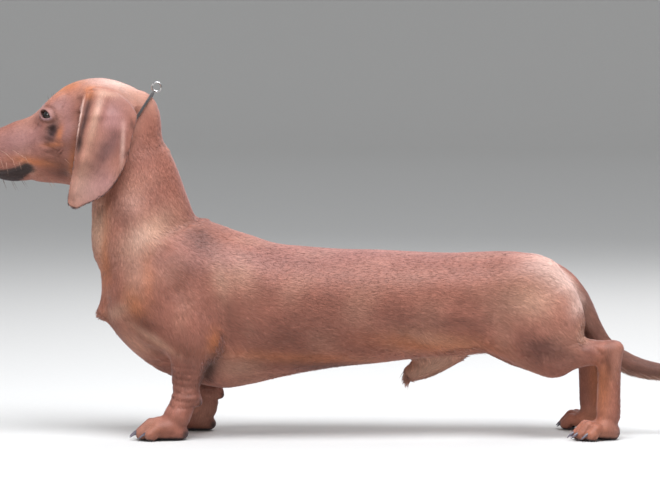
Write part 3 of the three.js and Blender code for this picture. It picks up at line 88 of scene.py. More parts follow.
# x, y, z, half depth in side view, half width
neckAxis = [(-250, 0, 303, 41, 36), (-247, 0, 283, 45, 39), (-236.5, 0, 257, 46.5, 42),
            (-230, 0, 226, 51.5, 46), (-225, 0, 198, 56.5, 49), (-212, 0, 177, 64, 54)]
tailAxis = [(176, 0, 163, 18, 16), (198, 0, 154.5, 16.5, 15), (217, 0, 132, 14, 13.5),
            (228, 0, 110, 12.6, 12.4), (240, 0, 92, 11.5, 11), (254, 0, 80.5, 11, 10.5),
            (274, 0, 70.5, 10.4, 10), (296, 0, 65.5, 9, 8.8), (324, 0, 62, 7.4, 7.2),
            (350, 0, 62.5, 5.9, 5.8), (375, 0, 67, 4.3, 4.3), (396, 0, 75, 2.4, 2.4)]
upperArmAxis = [(-222, 40, 146, 30, 17), (-196, 46, 124, 33, 19), (-172, 50, 104, 26, 17)]
foreArmAxis = [(-168, 51, 116, 24, 16), (-174, 50, 103, 25, 17), (-178, 48, 84, 21.4, 15.5),
               (-181, 45.5, 70, 18.5, 14.5), (-183, 43.5, 58, 15.5, 13.5), (-184, 43, 46, 13.2, 13.5),
               (-187, 44, 36, 13.2, 14.5), (-192, 46, 24, 14, 16)]
thighAxis = [(158, 28, 158, 38, 18), (168, 33, 134, 46, 23), (179, 36, 108, 44, 24), (185, 39, 90, 31, 20),
             (187, 40, 79, 17, 15)]
shankAxis = [(186, 38, 85, 19, 17), (205, 39, 88, 18.5, 16.5), (222, 41, 89, 15.5, 14),
             (240, 42, 87.5, 12.5, 12)]
hockAxis = [(247, 42, 90, 11.5, 11), (245, 42, 78, 12.4, 11.5), (244.3, 42.5, 57, 12.3, 11),
            (244, 42.5, 37, 12.6, 11), (244, 43, 24, 12.2, 12.5)]
sheathAxis = [(92, 0, 84, 10, 9), (74, 0, 77, 12.5, 8.5), (58, 0, 70, 12.5, 8), (45, 0, 63.5, 9.5, 6.5)]
mouthLine = [(-396, 279), (-386, 273), (-374, 271), (-364, 272), (-354, 274.5), (-345, 278), (-338, 275)]
# side-view line, half width, depth
folds = [
    ([(-334, 306), (-326, 300), (-316, 298)], 5, 1.2),
    ([(-252, 131), (-244, 126), (-226, 110), (-203, 96)], 6, 2.6),
    ([(-200, 205), (-215, 180), (-226, 156)], 9, 2.0),
    ([(-152, 150), (-146, 128), (-146, 104)], 8, 2.2),
    ([(210, 98), (224, 99), (238, 95)], 5, 2.0),
    ([(118, 96), (128, 116), (132, 140)], 8, 1.6),
]
# each toe from x, y to x, y, its radius and the level of its knuckle
foreToes = [(0, -9.5, -13, -14.5, 7.0, 10.5), (-3, -4, -21, -5.5, 7.4, 13.5),
            (-3, 4, -21, 6, 7.4, 13.5), (0, 9.5, -13, 15, 7.0, 10.5)]
hindToes = [(-14, -8.5, -25, -12.5, 6.6, 10), (-17, -3.5, -32, -4.5, 7.0, 12.5),
            (-17, 3.5, -32, 5, 7.0, 12.5), (-14, 8.5, -25, 13, 6.6, 10)]
# how far the left and the right foot stand back, and how far the hind feet turn out
stance = {"foreStep": (0, 25), "hindFootStep": (0, -11), "hindHockStep": (0, -15.5), "hindTurn": (0.36, 0.72)}
eye = {"radius": 9.6, "centre": (-319.2, 21.4, 326.5), "facing": (-0.66, 0.72, 0.2), "lidSlant": 0.42,
       "lidHalfLength": 7.7, "lidHalfHeight": 3.9, "lidThickness": 1.7, "ballGap": 0.2}
# how far the lower jaw stands in under the lip, the depth of the line between, and how far the lip stands out
lips = {"under": 1.9, "line": 1.5, "edge": 0.5}


def smoothMin(a, b, reach):
    h = np.maximum(reach - np.abs(a - b), 0) / reach
    return np.minimum(a, b) - h * h * reach / 4


def smoothMax(a, b, reach):
    return -smoothMin(-a, -b, reach)


def smoothStep(low, high, value):
    t = np.clip((value - low) / (high - low), 0, 1)
    return t * t * (3 - 2 * t)


def bump(value, centre, width):
    return np.exp(-((value - centre) / width) ** 2)


def unit(v):
    v = np.asarray(v, float)
    return v / np.linalg.norm(v)


def unitRows(rows, least=0):
    return rows / np.maximum(np.linalg.norm(rows, axis=-1, keepdims=True), least)


def bySide(pair, y):
    # the first value on the left side and the second on the right
    return np.where(y > 0, pair[1], pair[0])


def squareTo(rows, ways):
    # what is left of each vector without its part along a way
    return rows - ways * (rows * ways).sum(1)[:, None]


def turned(rows, normals, angles):
    return rows * np.cos(angles)[:, None] + np.cross(normals, rows) * np.sin(angles)[:, None]


def rowCurve(rows, keys, at):
    # rows of values at keys, joined by a smooth curve
    rows = np.array(rows, float)
    keys = np.array(keys, float)
    before = np.maximum(np.arange(len(rows)) - 1, 0)
    after = np.minimum(np.arange(len(rows)) + 1, len(rows) - 1)
    slopes = (rows[after] - rows[before]) / (keys[after] - keys[before])[:, None]
    i = np.clip(np.searchsorted(keys, at, side="left") - 1, 0, len(rows) - 2)
    span = (keys[i + 1] - keys[i])[:, None]
    t = np.clip((at - keys[i])[:, None] / span, 0, 1)
    return ((2 * t**3 - 3 * t**2 + 1) * rows[i] + (t**3 - 2 * t**2 + t) * span * slopes[i]
            + (3 * t**2 - 2 * t**3) * rows[i + 1] + (t**3 - t**2) * span * slopes[i + 1])


def closedCurve(route, count):
    # evenly shared places on a smooth closed curve through all points of a route
    places = np.linspace(0, len(route), count, endpoint=False)
    i = places.astype(int)
    t = (places - i)[:, None]
    before, a, b, after = (route[(i + shift) % len(route)] for shift in (-1, 0, 1, 2))
    return 0.5 * (2 * a + (b - before) * t + (2 * before - 5 * a + 4 * b - after) * t**2
                  + (3 * a - before - 3 * b + after) * t**3)


def sampleGrid(grid, u, w):
    # values between the cells of the last two axes of a grid
    u, w = np.clip(u, 0, grid.shape[-2] - 1.001), np.clip(w, 0, grid.shape[-1] - 1.001)
    i, k = u.astype(int), w.astype(int)
    u, w = u - i, w - k
    return (grid[..., i, k] * (1 - u) * (1 - w) + grid[..., i + 1, k] * u * (1 - w)
            + grid[..., i, k + 1] * (1 - u) * w + grid[..., i + 1, k + 1] * u * w)


def roundedBy(flat, away, cap):
    # a distance in the plane of a section carried on past its end, whose edge is rounded
    return np.hypot(np.maximum(flat + cap, 0), away) - cap


def boxOf(points, reach):
    # the span that points take in each axis, with room round them
    points = np.array(points, float)
    return [v for column in points.T for v in (column.min() - reach, column.max() + reach)]


def sectionMass(stations, blend):
    # a mass given by sections along x
    first, last = stations[0][0], stations[-1][0]
    keys = [row[0] for row in stations]
    dense = np.append(np.arange(first, last, 1.0), last)
    table = rowCurve(stations, keys, dense)

    def field(x, y, z):
        inside = np.clip(x, first, last)
        beyond = x - inside
        columns = (np.interp(inside, dense, table[:, c]) for c in range(1, 7))
        top, bottom, width, widest, upper, lower = columns
        level = bottom + (top - bottom) * widest
        up = z - level
        height = np.where(up > 0, top - level, level - bottom)
        power = np.where(up > 0, upper, lower)
        q = ((np.abs(y) / width) ** power + (np.abs(up) / height) ** power) ** (1 / power)
        flat = np.where(q > 1e-4, np.hypot(y, up) * (1 - 1 / np.maximum(q, 1e-4)), -np.minimum(width, height))
        return np.where(beyond == 0, flat, roundedBy(flat, beyond, np.minimum(width, height) * 0.8))

    reach = max(row[3] for row in stations)
    low, high = min(row[2] for row in stations), max(row[1] for row in stations)
    box = (first - 12, last + 12, -reach, reach, low, high)
    return {"field": field, "blend": blend, "box": box, "cut": False}


def axisMass(rows, blend):
    # a mass of elliptic sections along a bent line
    rows = np.array(rows, float)
    keys = np.concatenate([[0], np.cumsum(np.linalg.norm(np.diff(rows[:, :3], axis=0), axis=1))])
    count = max(round(keys[-1] / 5), 3)
    samples = rowCurve(rows, keys, np.linspace(0, keys[-1], count + 1))
    start = samples[:-1]
    step = samples[1:, :3] - samples[:-1, :3]
    square = (step**2).sum(1)
    along = step / np.sqrt(square)[:, None]
    side = unitRows(np.array([0, 1, 0]) - along * along[:, 1:2])
    across = np.cross(side, along)

    def field(x, y, z):
        best = np.full(len(x), np.inf)
        near = np.zeros(len(x), int)
        nearT = np.zeros(len(x))
        for i in range(count):
            dx, dy, dz = x - start[i, 0], y - start[i, 1], z - start[i, 2]
            t = np.clip((dx * step[i, 0] + dy * step[i, 1] + dz * step[i, 2]) / square[i], 0, 1)
            far = (dx - step[i, 0] * t) ** 2 + (dy - step[i, 1] * t) ** 2 + (dz - step[i, 2] * t) ** 2
            closer = far < best
            best = np.where(closer, far, best)
            near = np.where(closer, i, near)
            nearT = np.where(closer, t, nearT)
        offset = np.stack([x, y, z], 1) - start[near, :3] - step[near] * nearT[:, None]
        depth, width = (start[near, c] + (samples[near + 1, c] - start[near, c]) * nearT for c in (3, 4))
        u, v, w = ((offset * way[near]).sum(1) for way in (across, side, along))
        q = np.hypot(u / depth, v / width)
        flat = np.where(q > 1e-4, np.hypot(u, v) * (1 - 1 / np.maximum(q, 1e-4)), -np.minimum(depth, width))
        return np.where(np.abs(w) < 1e-6, flat, roundedBy(flat, w, np.minimum(depth, width) * 0.95))

    return {"field": field, "blend": blend, "box": boxOf(rows[:, :3], rows[:, 3:5].max()), "cut": False}


def eggMass(centre, radii, blend, tilt=0.0, turn=0.0, cut=False):
    cosTilt, sinTilt, cosTurn, sinTurn = math.cos(tilt), math.sin(tilt), math.cos(turn), math.sin(turn)

    def field(x, y, z):
        px = (x - centre[0]) * cosTurn + (y - centre[1]) * sinTurn
        py = -(x - centre[0]) * sinTurn + (y - centre[1]) * cosTurn
        pz = z - centre[2]
        qx = px * cosTilt + pz * sinTilt
        qz = -px * sinTilt + pz * cosTilt
        q = np.sqrt((qx / radii[0]) ** 2 + (py / radii[1]) ** 2 + (qz / radii[2]) ** 2)
        return np.sqrt(qx**2 + py**2 + qz**2) * (1 - 1 / np.maximum(q, 1e-4))

    return {"field": field, "blend": blend, "box": boxOf([centre], max(radii)), "cut": cut}


def barMass(points, radius, blend):
    points = np.array(points, float)

    def field(x, y, z):
        best = np.full(len(x), np.inf)
        for a, b in zip(points[:-1], points[1:]):
            step = b - a
            reached = (x - a[0]) * step[0] + (y - a[1]) * step[1] + (z - a[2]) * step[2]
            t = np.clip(reached / (step @ step), 0, 1)
            best = np.minimum(best, (x - a[0] - step[0] * t) ** 2 + (y - a[1] - step[1] * t) ** 2
                              + (z - a[2] - step[2] * t) ** 2)
        return np.sqrt(best) - radius

    return {"field": field, "blend": blend, "box": boxOf(points, radius), "cut": False}


def lineDistance(line, x, z):
    return alongLine(line, x, z)[0]


def alongLine(line, x, z):
    # the distance to a line in side view, and how far along it the nearest place is, from 0 to 1
    lengths = [math.dist(a, b) for a, b in zip(line[:-1], line[1:])]
    best, place, before = np.full(len(x), np.inf), np.zeros(len(x)), 0
    for (ax, az), (bx, bz), length in zip(line[:-1], line[1:], lengths):
        dx, dz = bx - ax, bz - az
        t = np.clip(((x - ax) * dx + (z - az) * dz) / (length * length), 0, 1)
        far = np.hypot(x - ax - dx * t, z - az - dz * t)
        place = np.where(far < best, (before + t * length) / sum(lengths), place)
        best = np.minimum(best, far)
        before += length
    return best, place


def foldAlong(line, width, x, z, start=0.28, end=0.28):
    # 1 along the middle of a line, fading to its sides and over a share of its length at both ends
    far, place = alongLine(line, x, z)
    return bump(far, 0, width) * smoothStep(0, start, place) * smoothStep(1, 1 - end, place)


def blendMasses(masses, x, y, z):
    # masses count only near their own box, because farther off they change nothing
    margin = 24.0
    value = np.full(len(x), 1e3)
    for mass in masses:
        box = mass["box"]
        near = np.nonzero((x > box[0] - margin) & (x < box[1] + margin) & (y > box[2] - margin)
                          & (y < box[3] + margin) & (z > box[4] - margin) & (z < box[5] + margin))[0]
        if len(near) == 0:
            continue
        part = mass["field"](x[near], y[near], z[near])
        if mass["cut"]:
            value[near] = smoothMax(np.minimum(value[near], margin), -part, mass["blend"])
        else:
            value[near] = smoothMin(value[near], part, mass["blend"])
    return np.minimum(value, margin)


def eyeFrame(side):
    out = unit((eye["facing"][0], side * eye["facing"][1], eye["facing"][2]))
    level = unit(np.cross((0, 0, 1), out)) * side
    tilted = unit((level[0], level[1], eye["lidSlant"]))
    lids = unit(tilted - out * (tilted @ out))
    centre = np.array(eye["centre"]) * (1, side, 1)
    return {"centre": centre, "out": out, "lids": lids, "across": np.cross(out, lids)}


eyeFrames = {side: eyeFrame(side) for side in (-1, 1)}


def lidOpening(eyeAxes, x, y, z):
    offset = np.stack([x, y, z], 1) - eyeAxes["centre"]
    u, v = offset @ eyeAxes["lids"], offset @ eyeAxes["across"]
    arc = (eye["lidHalfLength"] ** 2 + eye["lidHalfHeight"] ** 2) / (2 * eye["lidHalfHeight"])
    return np.hypot(u, np.abs(v) + arc - eye["lidHalfHeight"]) - arc, offset @ eyeAxes["out"]


def headMasses():
    masses = [sectionMass(headStations, 10)]
    for side in (-1, 1):
        masses += [
            eggMass((-283, side * 30, 283), (26, 13, 20), 12, -0.3),
            eggMass((-296, side * 34, 306), (24, 9, 10), 12, 0.15),
            eggMass((-272, side * 25, 338), (28, 14, 18), 12, 0.3),
            eggMass((-317, side * 21, 340), (12, 7, 5), 9, 0.7),
            barMass([(-386, side * 8, 281), (-372, side * 11, 281), (-354, side * 13.5, 283)], 6.5, 8),
            eggMass((-343, side * 27, 318), (9, 7, 6), 9, 0.5, 0, True),
            eggMass(eyeFrames[side]["centre"], [eye["radius"] + eye["lidThickness"]] * 3, 9),
        ]
    masses.append(eggMass((-387, 0, 298.5), (11.5, 12.5, 10.5), 4))
    return masses


mouthX = np.linspace(-396, -338, 60)
mouthZ = rowCurve(mouthLine, [p[0] for p in mouthLine], mouthX)[:, 1]


def headDetail(value, x, y, z):
    # the lips and the line between them
    low = np.nonzero((x < -330) & (z < 300))[0]
    xs, zs = x[low], z[low]
    level = np.interp(xs, mouthX, mouthZ)
    near = lineDistance(mouthLine, xs, zs)
    back = smoothStep(-334, -346, xs)
    value[low] += back * lips["under"] * smoothStep(0, 4, level - zs) * smoothStep(24, 10, level - zs)
    value[low] += lips["line"] * bump(near, 0, 1.5) - lips["edge"] * back * bump(zs - level, 3.4, 2)
    # the nostrils and the groove between them
    tip = np.nonzero(x < -380)[0]
    xs, ys, zs = x[tip], y[tip], z[tip]
    openings = np.full(len(tip), 1e3)
    for side in (-1, 1):
        slit = barMass([(-401, side * 4.6, 297.5), (-396, side * 5.6, 297), (-391.5, side * 9.6, 293.5),
                        (-388, side * 12.5, 293.8)], 1.5, 1)["field"](xs, ys, zs)
        hole = eggMass((-399, side * 5, 297.8), (7, 2.5, 2.9), 1)["field"](xs, ys, zs)
        openings = np.minimum(openings, smoothMin(slit, hole, 1.5))
    value[tip] = smoothMax(value[tip], -openings, 1.0)
    value[tip] += 1.1 * bump(ys, 0, 1.1) * smoothStep(299, 295, zs) * smoothStep(274, 280, zs)
    # the lids round each eye
    for side in (-1, 1):
        near = np.nonzero((x > -345) & (x < -300) & (y * side > 6) & (z > 300))[0]
        xs, ys, zs = x[near], y[near], z[near]
        edge, out = lidOpening(eyeFrames[side], xs, ys, zs)
        ahead = smoothStep(2, 6, out) * (out > 0)
        shaped = value[near] - 0.7 * bump(edge, 1.1, 1.3) * ahead + 0.8 * bump(edge, 4.6, 1.6) * ahead
        carved = smoothMax(shaped, -np.maximum(edge, 6.4 - out), 0.7)
        shaped = np.where(out > 0, carved, shaped)
        apart = np.linalg.norm(np.stack([xs, ys, zs], 1) - eyeFrames[side]["centre"], axis=1)
        value[near] = np.maximum(shaped, -(apart - eye["radius"] - eye["ballGap"]))
    return value


def foreLean(side, z):
    return stance["foreStep"][side > 0] * np.clip((140 - z) / 120, 0, 1)


def hindLean(side, z):
    hock, foot = stance["hindHockStep"][side > 0], stance["hindFootStep"][side > 0]
    return hock * np.clip((190 - z) / 100, 0, 1) + (foot - hock) * np.clip((90 - z) / 70, 0, 1)


def standRows(rows, side, lean):
    return [(x + lean(side, z), side * y, z, depth, width) for x, y, z, depth, width in rows]


def foreFoot(side):
    return {"x": -206 + stance["foreStep"][side > 0], "y": side * 48, "turn": side * -0.08, "toes": foreToes}


def hindFoot(side):
    return {"x": 245 + stance["hindFootStep"][side > 0], "y": side * 44,
            "turn": -side * stance["hindTurn"][side > 0], "toes": hindToes}


def onFoot(foot, x, y, z):
    c, s = math.cos(foot["turn"]), math.sin(foot["turn"])
    return (foot["x"] + x * c - y * s, foot["y"] + x * s + y * c, z)


def toePoints(foot, toe):
    fromX, fromY, toX, toY, radius, knuckle = toe
    return (onFoot(foot, fromX, fromY, knuckle),
            onFoot(foot, (fromX + toX) / 2, (fromY + toY) / 2, knuckle + 1.5),
            onFoot(foot, toX, toY, radius - 0.6))


def footMasses(foot, body):
    masses = [eggMass(onFoot(foot, *row[:3]), row[3:], 5, 0, foot["turn"]) for row in body]
    return masses + [barMass(toePoints(foot, toe), toe[4], 1.5) for toe in foot["toes"]]


def foreLegMasses(side):
    step = stance["foreStep"][side > 0]
    foot = foreFoot(side)
    return [
        axisMass(standRows(upperArmAxis, side, foreLean), 16),
        eggMass((-176 + step * 0.2, side * 47, 128), (34, 17, 32), 12, 0.5),
        axisMass(standRows(foreArmAxis, side, foreLean), 9),
        eggMass((-160 + step * 0.35, side * 54, 99), (12, 10, 12), 9),
        eggMass((-182 + step * 0.78, side * 44, 43), (14.5, 14, 9), 6),
        eggMass((-171 + step * 0.8, side * 43, 38), (4.8, 4.2, 4.8), 4),
        *footMasses(foot, [(0, 0, 12, 20, 18.5, 12.5), (14, 0, 7, 12, 14, 8)]),
        barMass([onFoot(foot, 8, side * -13, 22), onFoot(foot, 0, side * -16.5, 17)], 3.6, 3),
    ]


def hindLegMasses(side):
    foot = hindFoot(side)
    return [
        axisMass(standRows(thighAxis, side, hindLean), 16),
        axisMass(standRows(shankAxis, side, hindLean), 9),
        axisMass(standRows(hockAxis, side, hindLean), 6),
        barMass([(247 + hindLean(side, 80), side * 42, 80), (252 + hindLean(side, 92), side * 42, 92)], 7, 6),
        eggMass((189 + hindLean(side, 76), side * 41, 77), (15, 14, 12), 10),
        barMass([(132 + hindLean(side, 100), side * 31, 102),
                 (168 + hindLean(side, 84), side * 36, 85)], 17, 10),
        *footMasses(foot, [(-7, 0, 11, 15, 15, 11.5), (1, 0, 7, 9.5, 11.5, 8.5)]),
    ]


bodyMasses = [
    sectionMass(trunkStations, 1), axisMass(neckAxis, 22), *headMasses(),
    *foreLegMasses(-1), *foreLegMasses(1), *hindLegMasses(-1), *hindLegMasses(1),
    *(eggMass((152, y, 158), (40, 22, 19), 16, 0.25) for y in (27, -27)),
    axisMass(tailAxis, 11), axisMass(sheathAxis, 8),
    eggMass((-240, 0, 325), (27.5, 26, 27.5), 12), eggMass((-243, 0, 156), (28.5, 27, 30), 14),
    eggMass((-172, 0, 202), (15, 20, 19.5), 5), eggMass((-265, 0, 126), (8.5, 12, 7), 10),
]
# hollows in side view: line, width, depth; the throat over the breastbone, and behind the withers
outlineHollows = [([(-277, 164), (-276, 142)], 11.0, 5.2), ([(-163, 226), (-154, 223)], 8.0, 3.2)]


def outlineHollow(x, z):
    return sum(depth * bump(lineDistance(line, x, z), 0, width) for line, width, depth in outlineHollows)


def bodyField(x, y, z):
    # the body in its coat, without the finer forms of the face
    value = blendMasses(bodyMasses, x, y, z)
    side = smoothStep(10, 26, np.abs(y))
    for line, width, depth in folds:
        value += depth * bump(lineDistance(line, x, z), 0, width) * side
    return value


# Ears: a sheet hanging from the side of the skull, given by its height over the mid-plane

ear = {"thickness": 2.9, "clearance": 1.5, "standOut": 1.8,
       "left": -322, "low": 222, "step": 0.6, "wideStep": 2.0,
       "outline": [(-282, 353.5), (-287, 339), (-291, 318.5), (-294, 293.5), (-298, 268), (-302.3, 245.3),
                   (-301, 237.3), (-294, 233.3), (-285, 237.3), (-274, 242.3), (-264.3, 248), (-253.4, 260),
                   (-244.5, 275.7), (-239.6, 288.6), (-235.6, 308.3), (-231.7, 322), (-232.7, 330),
                   (-239.6, 340), (-249.5, 348), (-259.4, 352), (-269.2, 354)]}
# lines in side view, half width, how far the sheet stands out along them, shares of the ends that fade
earForms = [
    ([(-266, 360), (-271.5, 330), (-276.5, 313), (-281, 297), (-286, 281), (-297, 240)], 6.0, 3.2, 0.1, 0.1),
    ([(-277.5, 358), (-282.7, 334), (-286, 318), (-289.2, 305.6), (-291, 288)], 3.7, -4.0, 0.06, 0.2),
    ([(-249, 316), (-258, 298), (-267, 284), (-279, 266)], 7.0, -3.4, 0.25, 0.4),
    ([(-246.5, 326), (-244.3, 305), (-245, 289), (-249, 275), (-257, 259), (-270, 243)], 4.0, 2.6, 0.2, 0.15),
    ([(-256, 352), (-262, 334), (-268, 314)], 4.0, -0.9, 0.3, 0.3),
]
earDrape = [(230, 43.5), (250, 45), (275, 46), (300, 46.5), (318, 46.3), (330, 45), (338, 42.5), (345, 38.8),
            (350, 35), (355, 30)]


def polygonDistance(outline, x, z):
    closed = list(outline) + [outline[0]]
    inside = np.zeros(len(x), bool)
    for (ax, az), (bx, bz) in zip(closed[:-1], closed[1:]):
        crosses = (az > z) != (bz > z)
        inside ^= crosses & (x < ax + (z - az) * (bx - ax) / (bz - az if bz != az else 1e-9))
    return np.where(inside, -1, 1) * lineDistance(closed, x, z)


def spread(grid, reach, take):
    # the greatest or the mean value of the cells within reach of each cell
    padded = np.pad(grid, reach, mode="edge")
    deep, tall = grid.shape
    return take([padded[i:i + deep, k:k + tall] for i in range(2 * reach + 1) for k in range(2 * reach + 1)
                 if (i - reach) ** 2 + (k - reach) ** 2 <= reach * reach], axis=0)


def makeEarTable():
    # how far out the body reaches under the ear, on a wide grid
    left, low, cell = ear["left"], ear["low"], ear["wideStep"]
    wide, tall = np.arange(left, -214, cell), np.arange(low, 368, cell)
    gx, gz, gy = np.meshgrid(wide, tall, np.arange(4, 62, 1.0), indexing="ij")
    values = bodyField(gx.ravel(), -gy.ravel(), gz.ravel()).reshape(gx.shape)
    wall = np.where(values < 0, gy - values, 0).max(2)
    wall = spread(spread(wall, 3, np.max), 5, np.mean)
    # the sheet that hangs over it, on a fine grid
    xs, zs = np.arange(left, -216, ear["step"]), np.arange(low, 366, ear["step"])
    x, z = (g.ravel() for g in np.meshgrid(xs, zs, indexing="ij"))
    wall = sampleGrid(wall, (x - left) / cell, (z - low) / cell)
    drape = rowCurve(earDrape, [row[0] for row in earDrape], np.clip(z, 230, 355))[:, 1]
    relief = sum((height * foldAlong(line, width, x, z, start, end)
                  for line, width, height, start, end in earForms), ear["standOut"])
    thick = ear["thickness"] + 3.2 * smoothStep(330, 350, z)
    root = smoothStep(326, 344, z)
    low = wall + ear["clearance"] + thick / 2 + 0.9 - 9 * root
    middle = smoothMax(drape, low, 4) + relief * (1 - 0.6 * root)
    outline = closedCurve(np.array(ear["outline"], float), 4 * len(ear["outline"]))
    edge = polygonDistance(outline, x, z)
    middle = middle + 1.1 * bump(edge, -0.6, 1.2) * smoothStep(250, 296, z) * smoothStep(-268, -276, x)
    thick = thick - 1.1 * smoothStep(-6, 0, edge) * (1 - root)
    grid = middle.reshape(len(xs), len(zs))
    slopeX, slopeZ = np.gradient(grid, ear["step"])
    steep = 1 / np.sqrt(1 + slopeX**2 + slopeZ**2)
    fill = root * np.maximum(middle - wall + 3, 0)
    thick, edge, fill = (values.reshape(grid.shape) for values in (thick, edge, fill))
    return np.stack([grid, thick, edge, steep, fill])


earTable = makeEarTable()
print("ear sheets laid over the head")


def earSheet(x, z):
    # its middle, thickness, distance to the outline, steepness and how far it is filled at the root
    return sampleGrid(earTable, (x - ear["left"]) / ear["step"], (z - ear["low"]) / ear["step"])


def earField(x, y, z, depth):
    middle, thick, edge, steep, fill = earSheet(x, z)
    out = np.abs(y) - middle
    sheet = np.maximum(out, -out - fill) * steep - thick / 2
    return smoothMax(sheet, edge, 1.8) + depth


# The skin: the body drawn in by the depth of the coat, with the ears and the finer folds

skin = {"bodyDepth": 1.1, "faceDepth": 0.5, "footDepth": 0.7, "earDepth": 0.25, "triangles": 196000}
# side-view line, half width, depth, and how wide of the mid-plane it begins
fineFolds = [
    ([(-331, 319), (-336, 314), (-341, 309)], 2.0, 0.9, 8),
    ([(-320, 317), (-318.5, 310), (-321, 305)], 4.6, 2.0, 20),
    ([(-330, 304.5), (-318, 302.5), (-308, 298)], 1.5, 0.8, 14),
    ([(-332, 298), (-320, 296), (-308, 290)], 1.6, 0.8, 14),
    ([(-331, 291), (-320, 289), (-310, 284)], 1.6, 0.7, 14),
    ([(-312, 291), (-310, 289)], 4.0, -1.3, 20),
    ([(-291, 342), (-285, 352), (-274, 355)], 3.6, -2.4, 26),
    ([(-244, 343), (-238, 337), (-234, 329)], 5.0, -2.6, 22),
    ([(-338, 275), (-333, 271), (-331, 265)], 2.2, 1.0, 10),
    ([(-328, 282), (-318, 278), (-308, 272)], 2.0, 0.6, 14),
    ([(-246, 119), (-228, 103), (-208, 91)], 5.0, -1.2, 18),
    ([(-192, 160), (-186, 144), (-182, 132)], 9.0, 1.3, 30),
    ([(-212, 178), (-206, 152), (-214, 134)], 8.0, -1.0, 26),
    ([(-146, 112), (-138, 92), (-134, 84)], 5.0, 1.8, 26),
    ([(168, 120), (186, 112), (205, 106)], 9.0, 1.4, 24),
    ([(205, 101), (225, 95), (238.5, 86), (242, 71), (248, 48)], 2.8, 2.3, 20),
    ([(150, 106), (176, 100), (200, 101)], 7.0, 1.4, 24),
    ([(-226, 98), (-214, 90), (-202, 84)], 6.0, 1.6, 22),
    ([(-168, 106), (-160, 92), (-163, 70), (-166, 54)], 5.0, 1.8, 26),
    ([(60, 150), (96, 136), (126, 126)], 10.0, 1.0, 26),
    ([(178, 178), (196, 158), (204, 138)], 5.0, -1.0, 12),
]
wristFolds = [(75, 0.7), (68.5, 0.9), (62, 1.0), (55, 1.1), (47.5, 1.2), (41, 1.1), (34, 0.9)]


def coatDepth(x, z):
    face = smoothStep(-228, -262, x) * smoothStep(250, 262, z)
    foot = smoothStep(42, 26, z)
    return (skin["bodyDepth"] + (skin["faceDepth"] - skin["bodyDepth"]) * face
            + (skin["footDepth"] - skin["bodyDepth"]) * foot)


def skinField(x, y, z):
    value = blendMasses(bodyMasses, x, y, z) + coatDepth(x, z) + outlineHollow(x, z)
    head = np.nonzero((z > 240) & (x < -296))[0]
    value[head] = headDetail(value[head], x[head], y[head], z[head])
    wide = np.abs(y)
    for line, width, depth in folds:
        value += depth * foldAlong(line, width, x, z) * smoothStep(10, 30, wide)
    for line, width, depth, start in fineFolds:
        left, right, low, high = boxOf(line, 2.5 * width)
        near = np.nonzero((x > left) & (x < right) & (z > low) & (z < high))[0]
        value[near] += (depth * foldAlong(line, width, x[near], z[near])
                        * smoothStep(start * 0.5, start * 1.1, wide[near]))
    wrist = np.nonzero((x < -120) & (z < 80) & (z > 26))[0]
    along = x[wrist] - bySide(stance["foreStep"], y[wrist]) * (140 - z[wrist]) / 120
    wave = z[wrist] + 0.1 * (along + 184) + 1.2 * np.sin(wide[wrist] * 0.35)
    front = smoothStep(-164, -180, along)
    value[wrist] += sum(depth * bump(wave, level, 1.5) for level, depth in wristFolds) * front
    near = np.nonzero((x > -322) & (x < -222) & (z > 224) & (z < 366) & (wide > 20))[0]
    reach = 0.5 + 9.5 * smoothStep(314, 336, z[near])
    value[near] = smoothMin(value[near], earField(x[near], y[near], z[near], skin["earDepth"]), reach)
    return smoothMax(value, 0.15 - z, 0.8)


def evaluate(field, x, y, z):
    chunk = 60000
    return np.concatenate([field(x[i:i + chunk], y[i:i + chunk], z[i:i + chunk])
                           for i in range(0, len(x), chunk)])


def gradient(field, points, step):
    slopes = [evaluate(field, *(points + shift).T) - evaluate(field, *(points - shift).T)
              for shift in np.eye(3) * step]
    return np.stack(slopes, 1) / (2 * step)


def gridLines(start, end, places, steps):
    lines = [start]
    while lines[-1] < end:
        lines.append(lines[-1] + np.interp(lines[-1], places, steps))
    return np.array(lines)


def acrossStep(x, z):
    step = np.interp(z, [0, 30, 60, 200, 230], [1.35, 1.35, 2.1, 2.4, 1.1])
    return np.where(x > 205, np.minimum(step, 1.6), step)


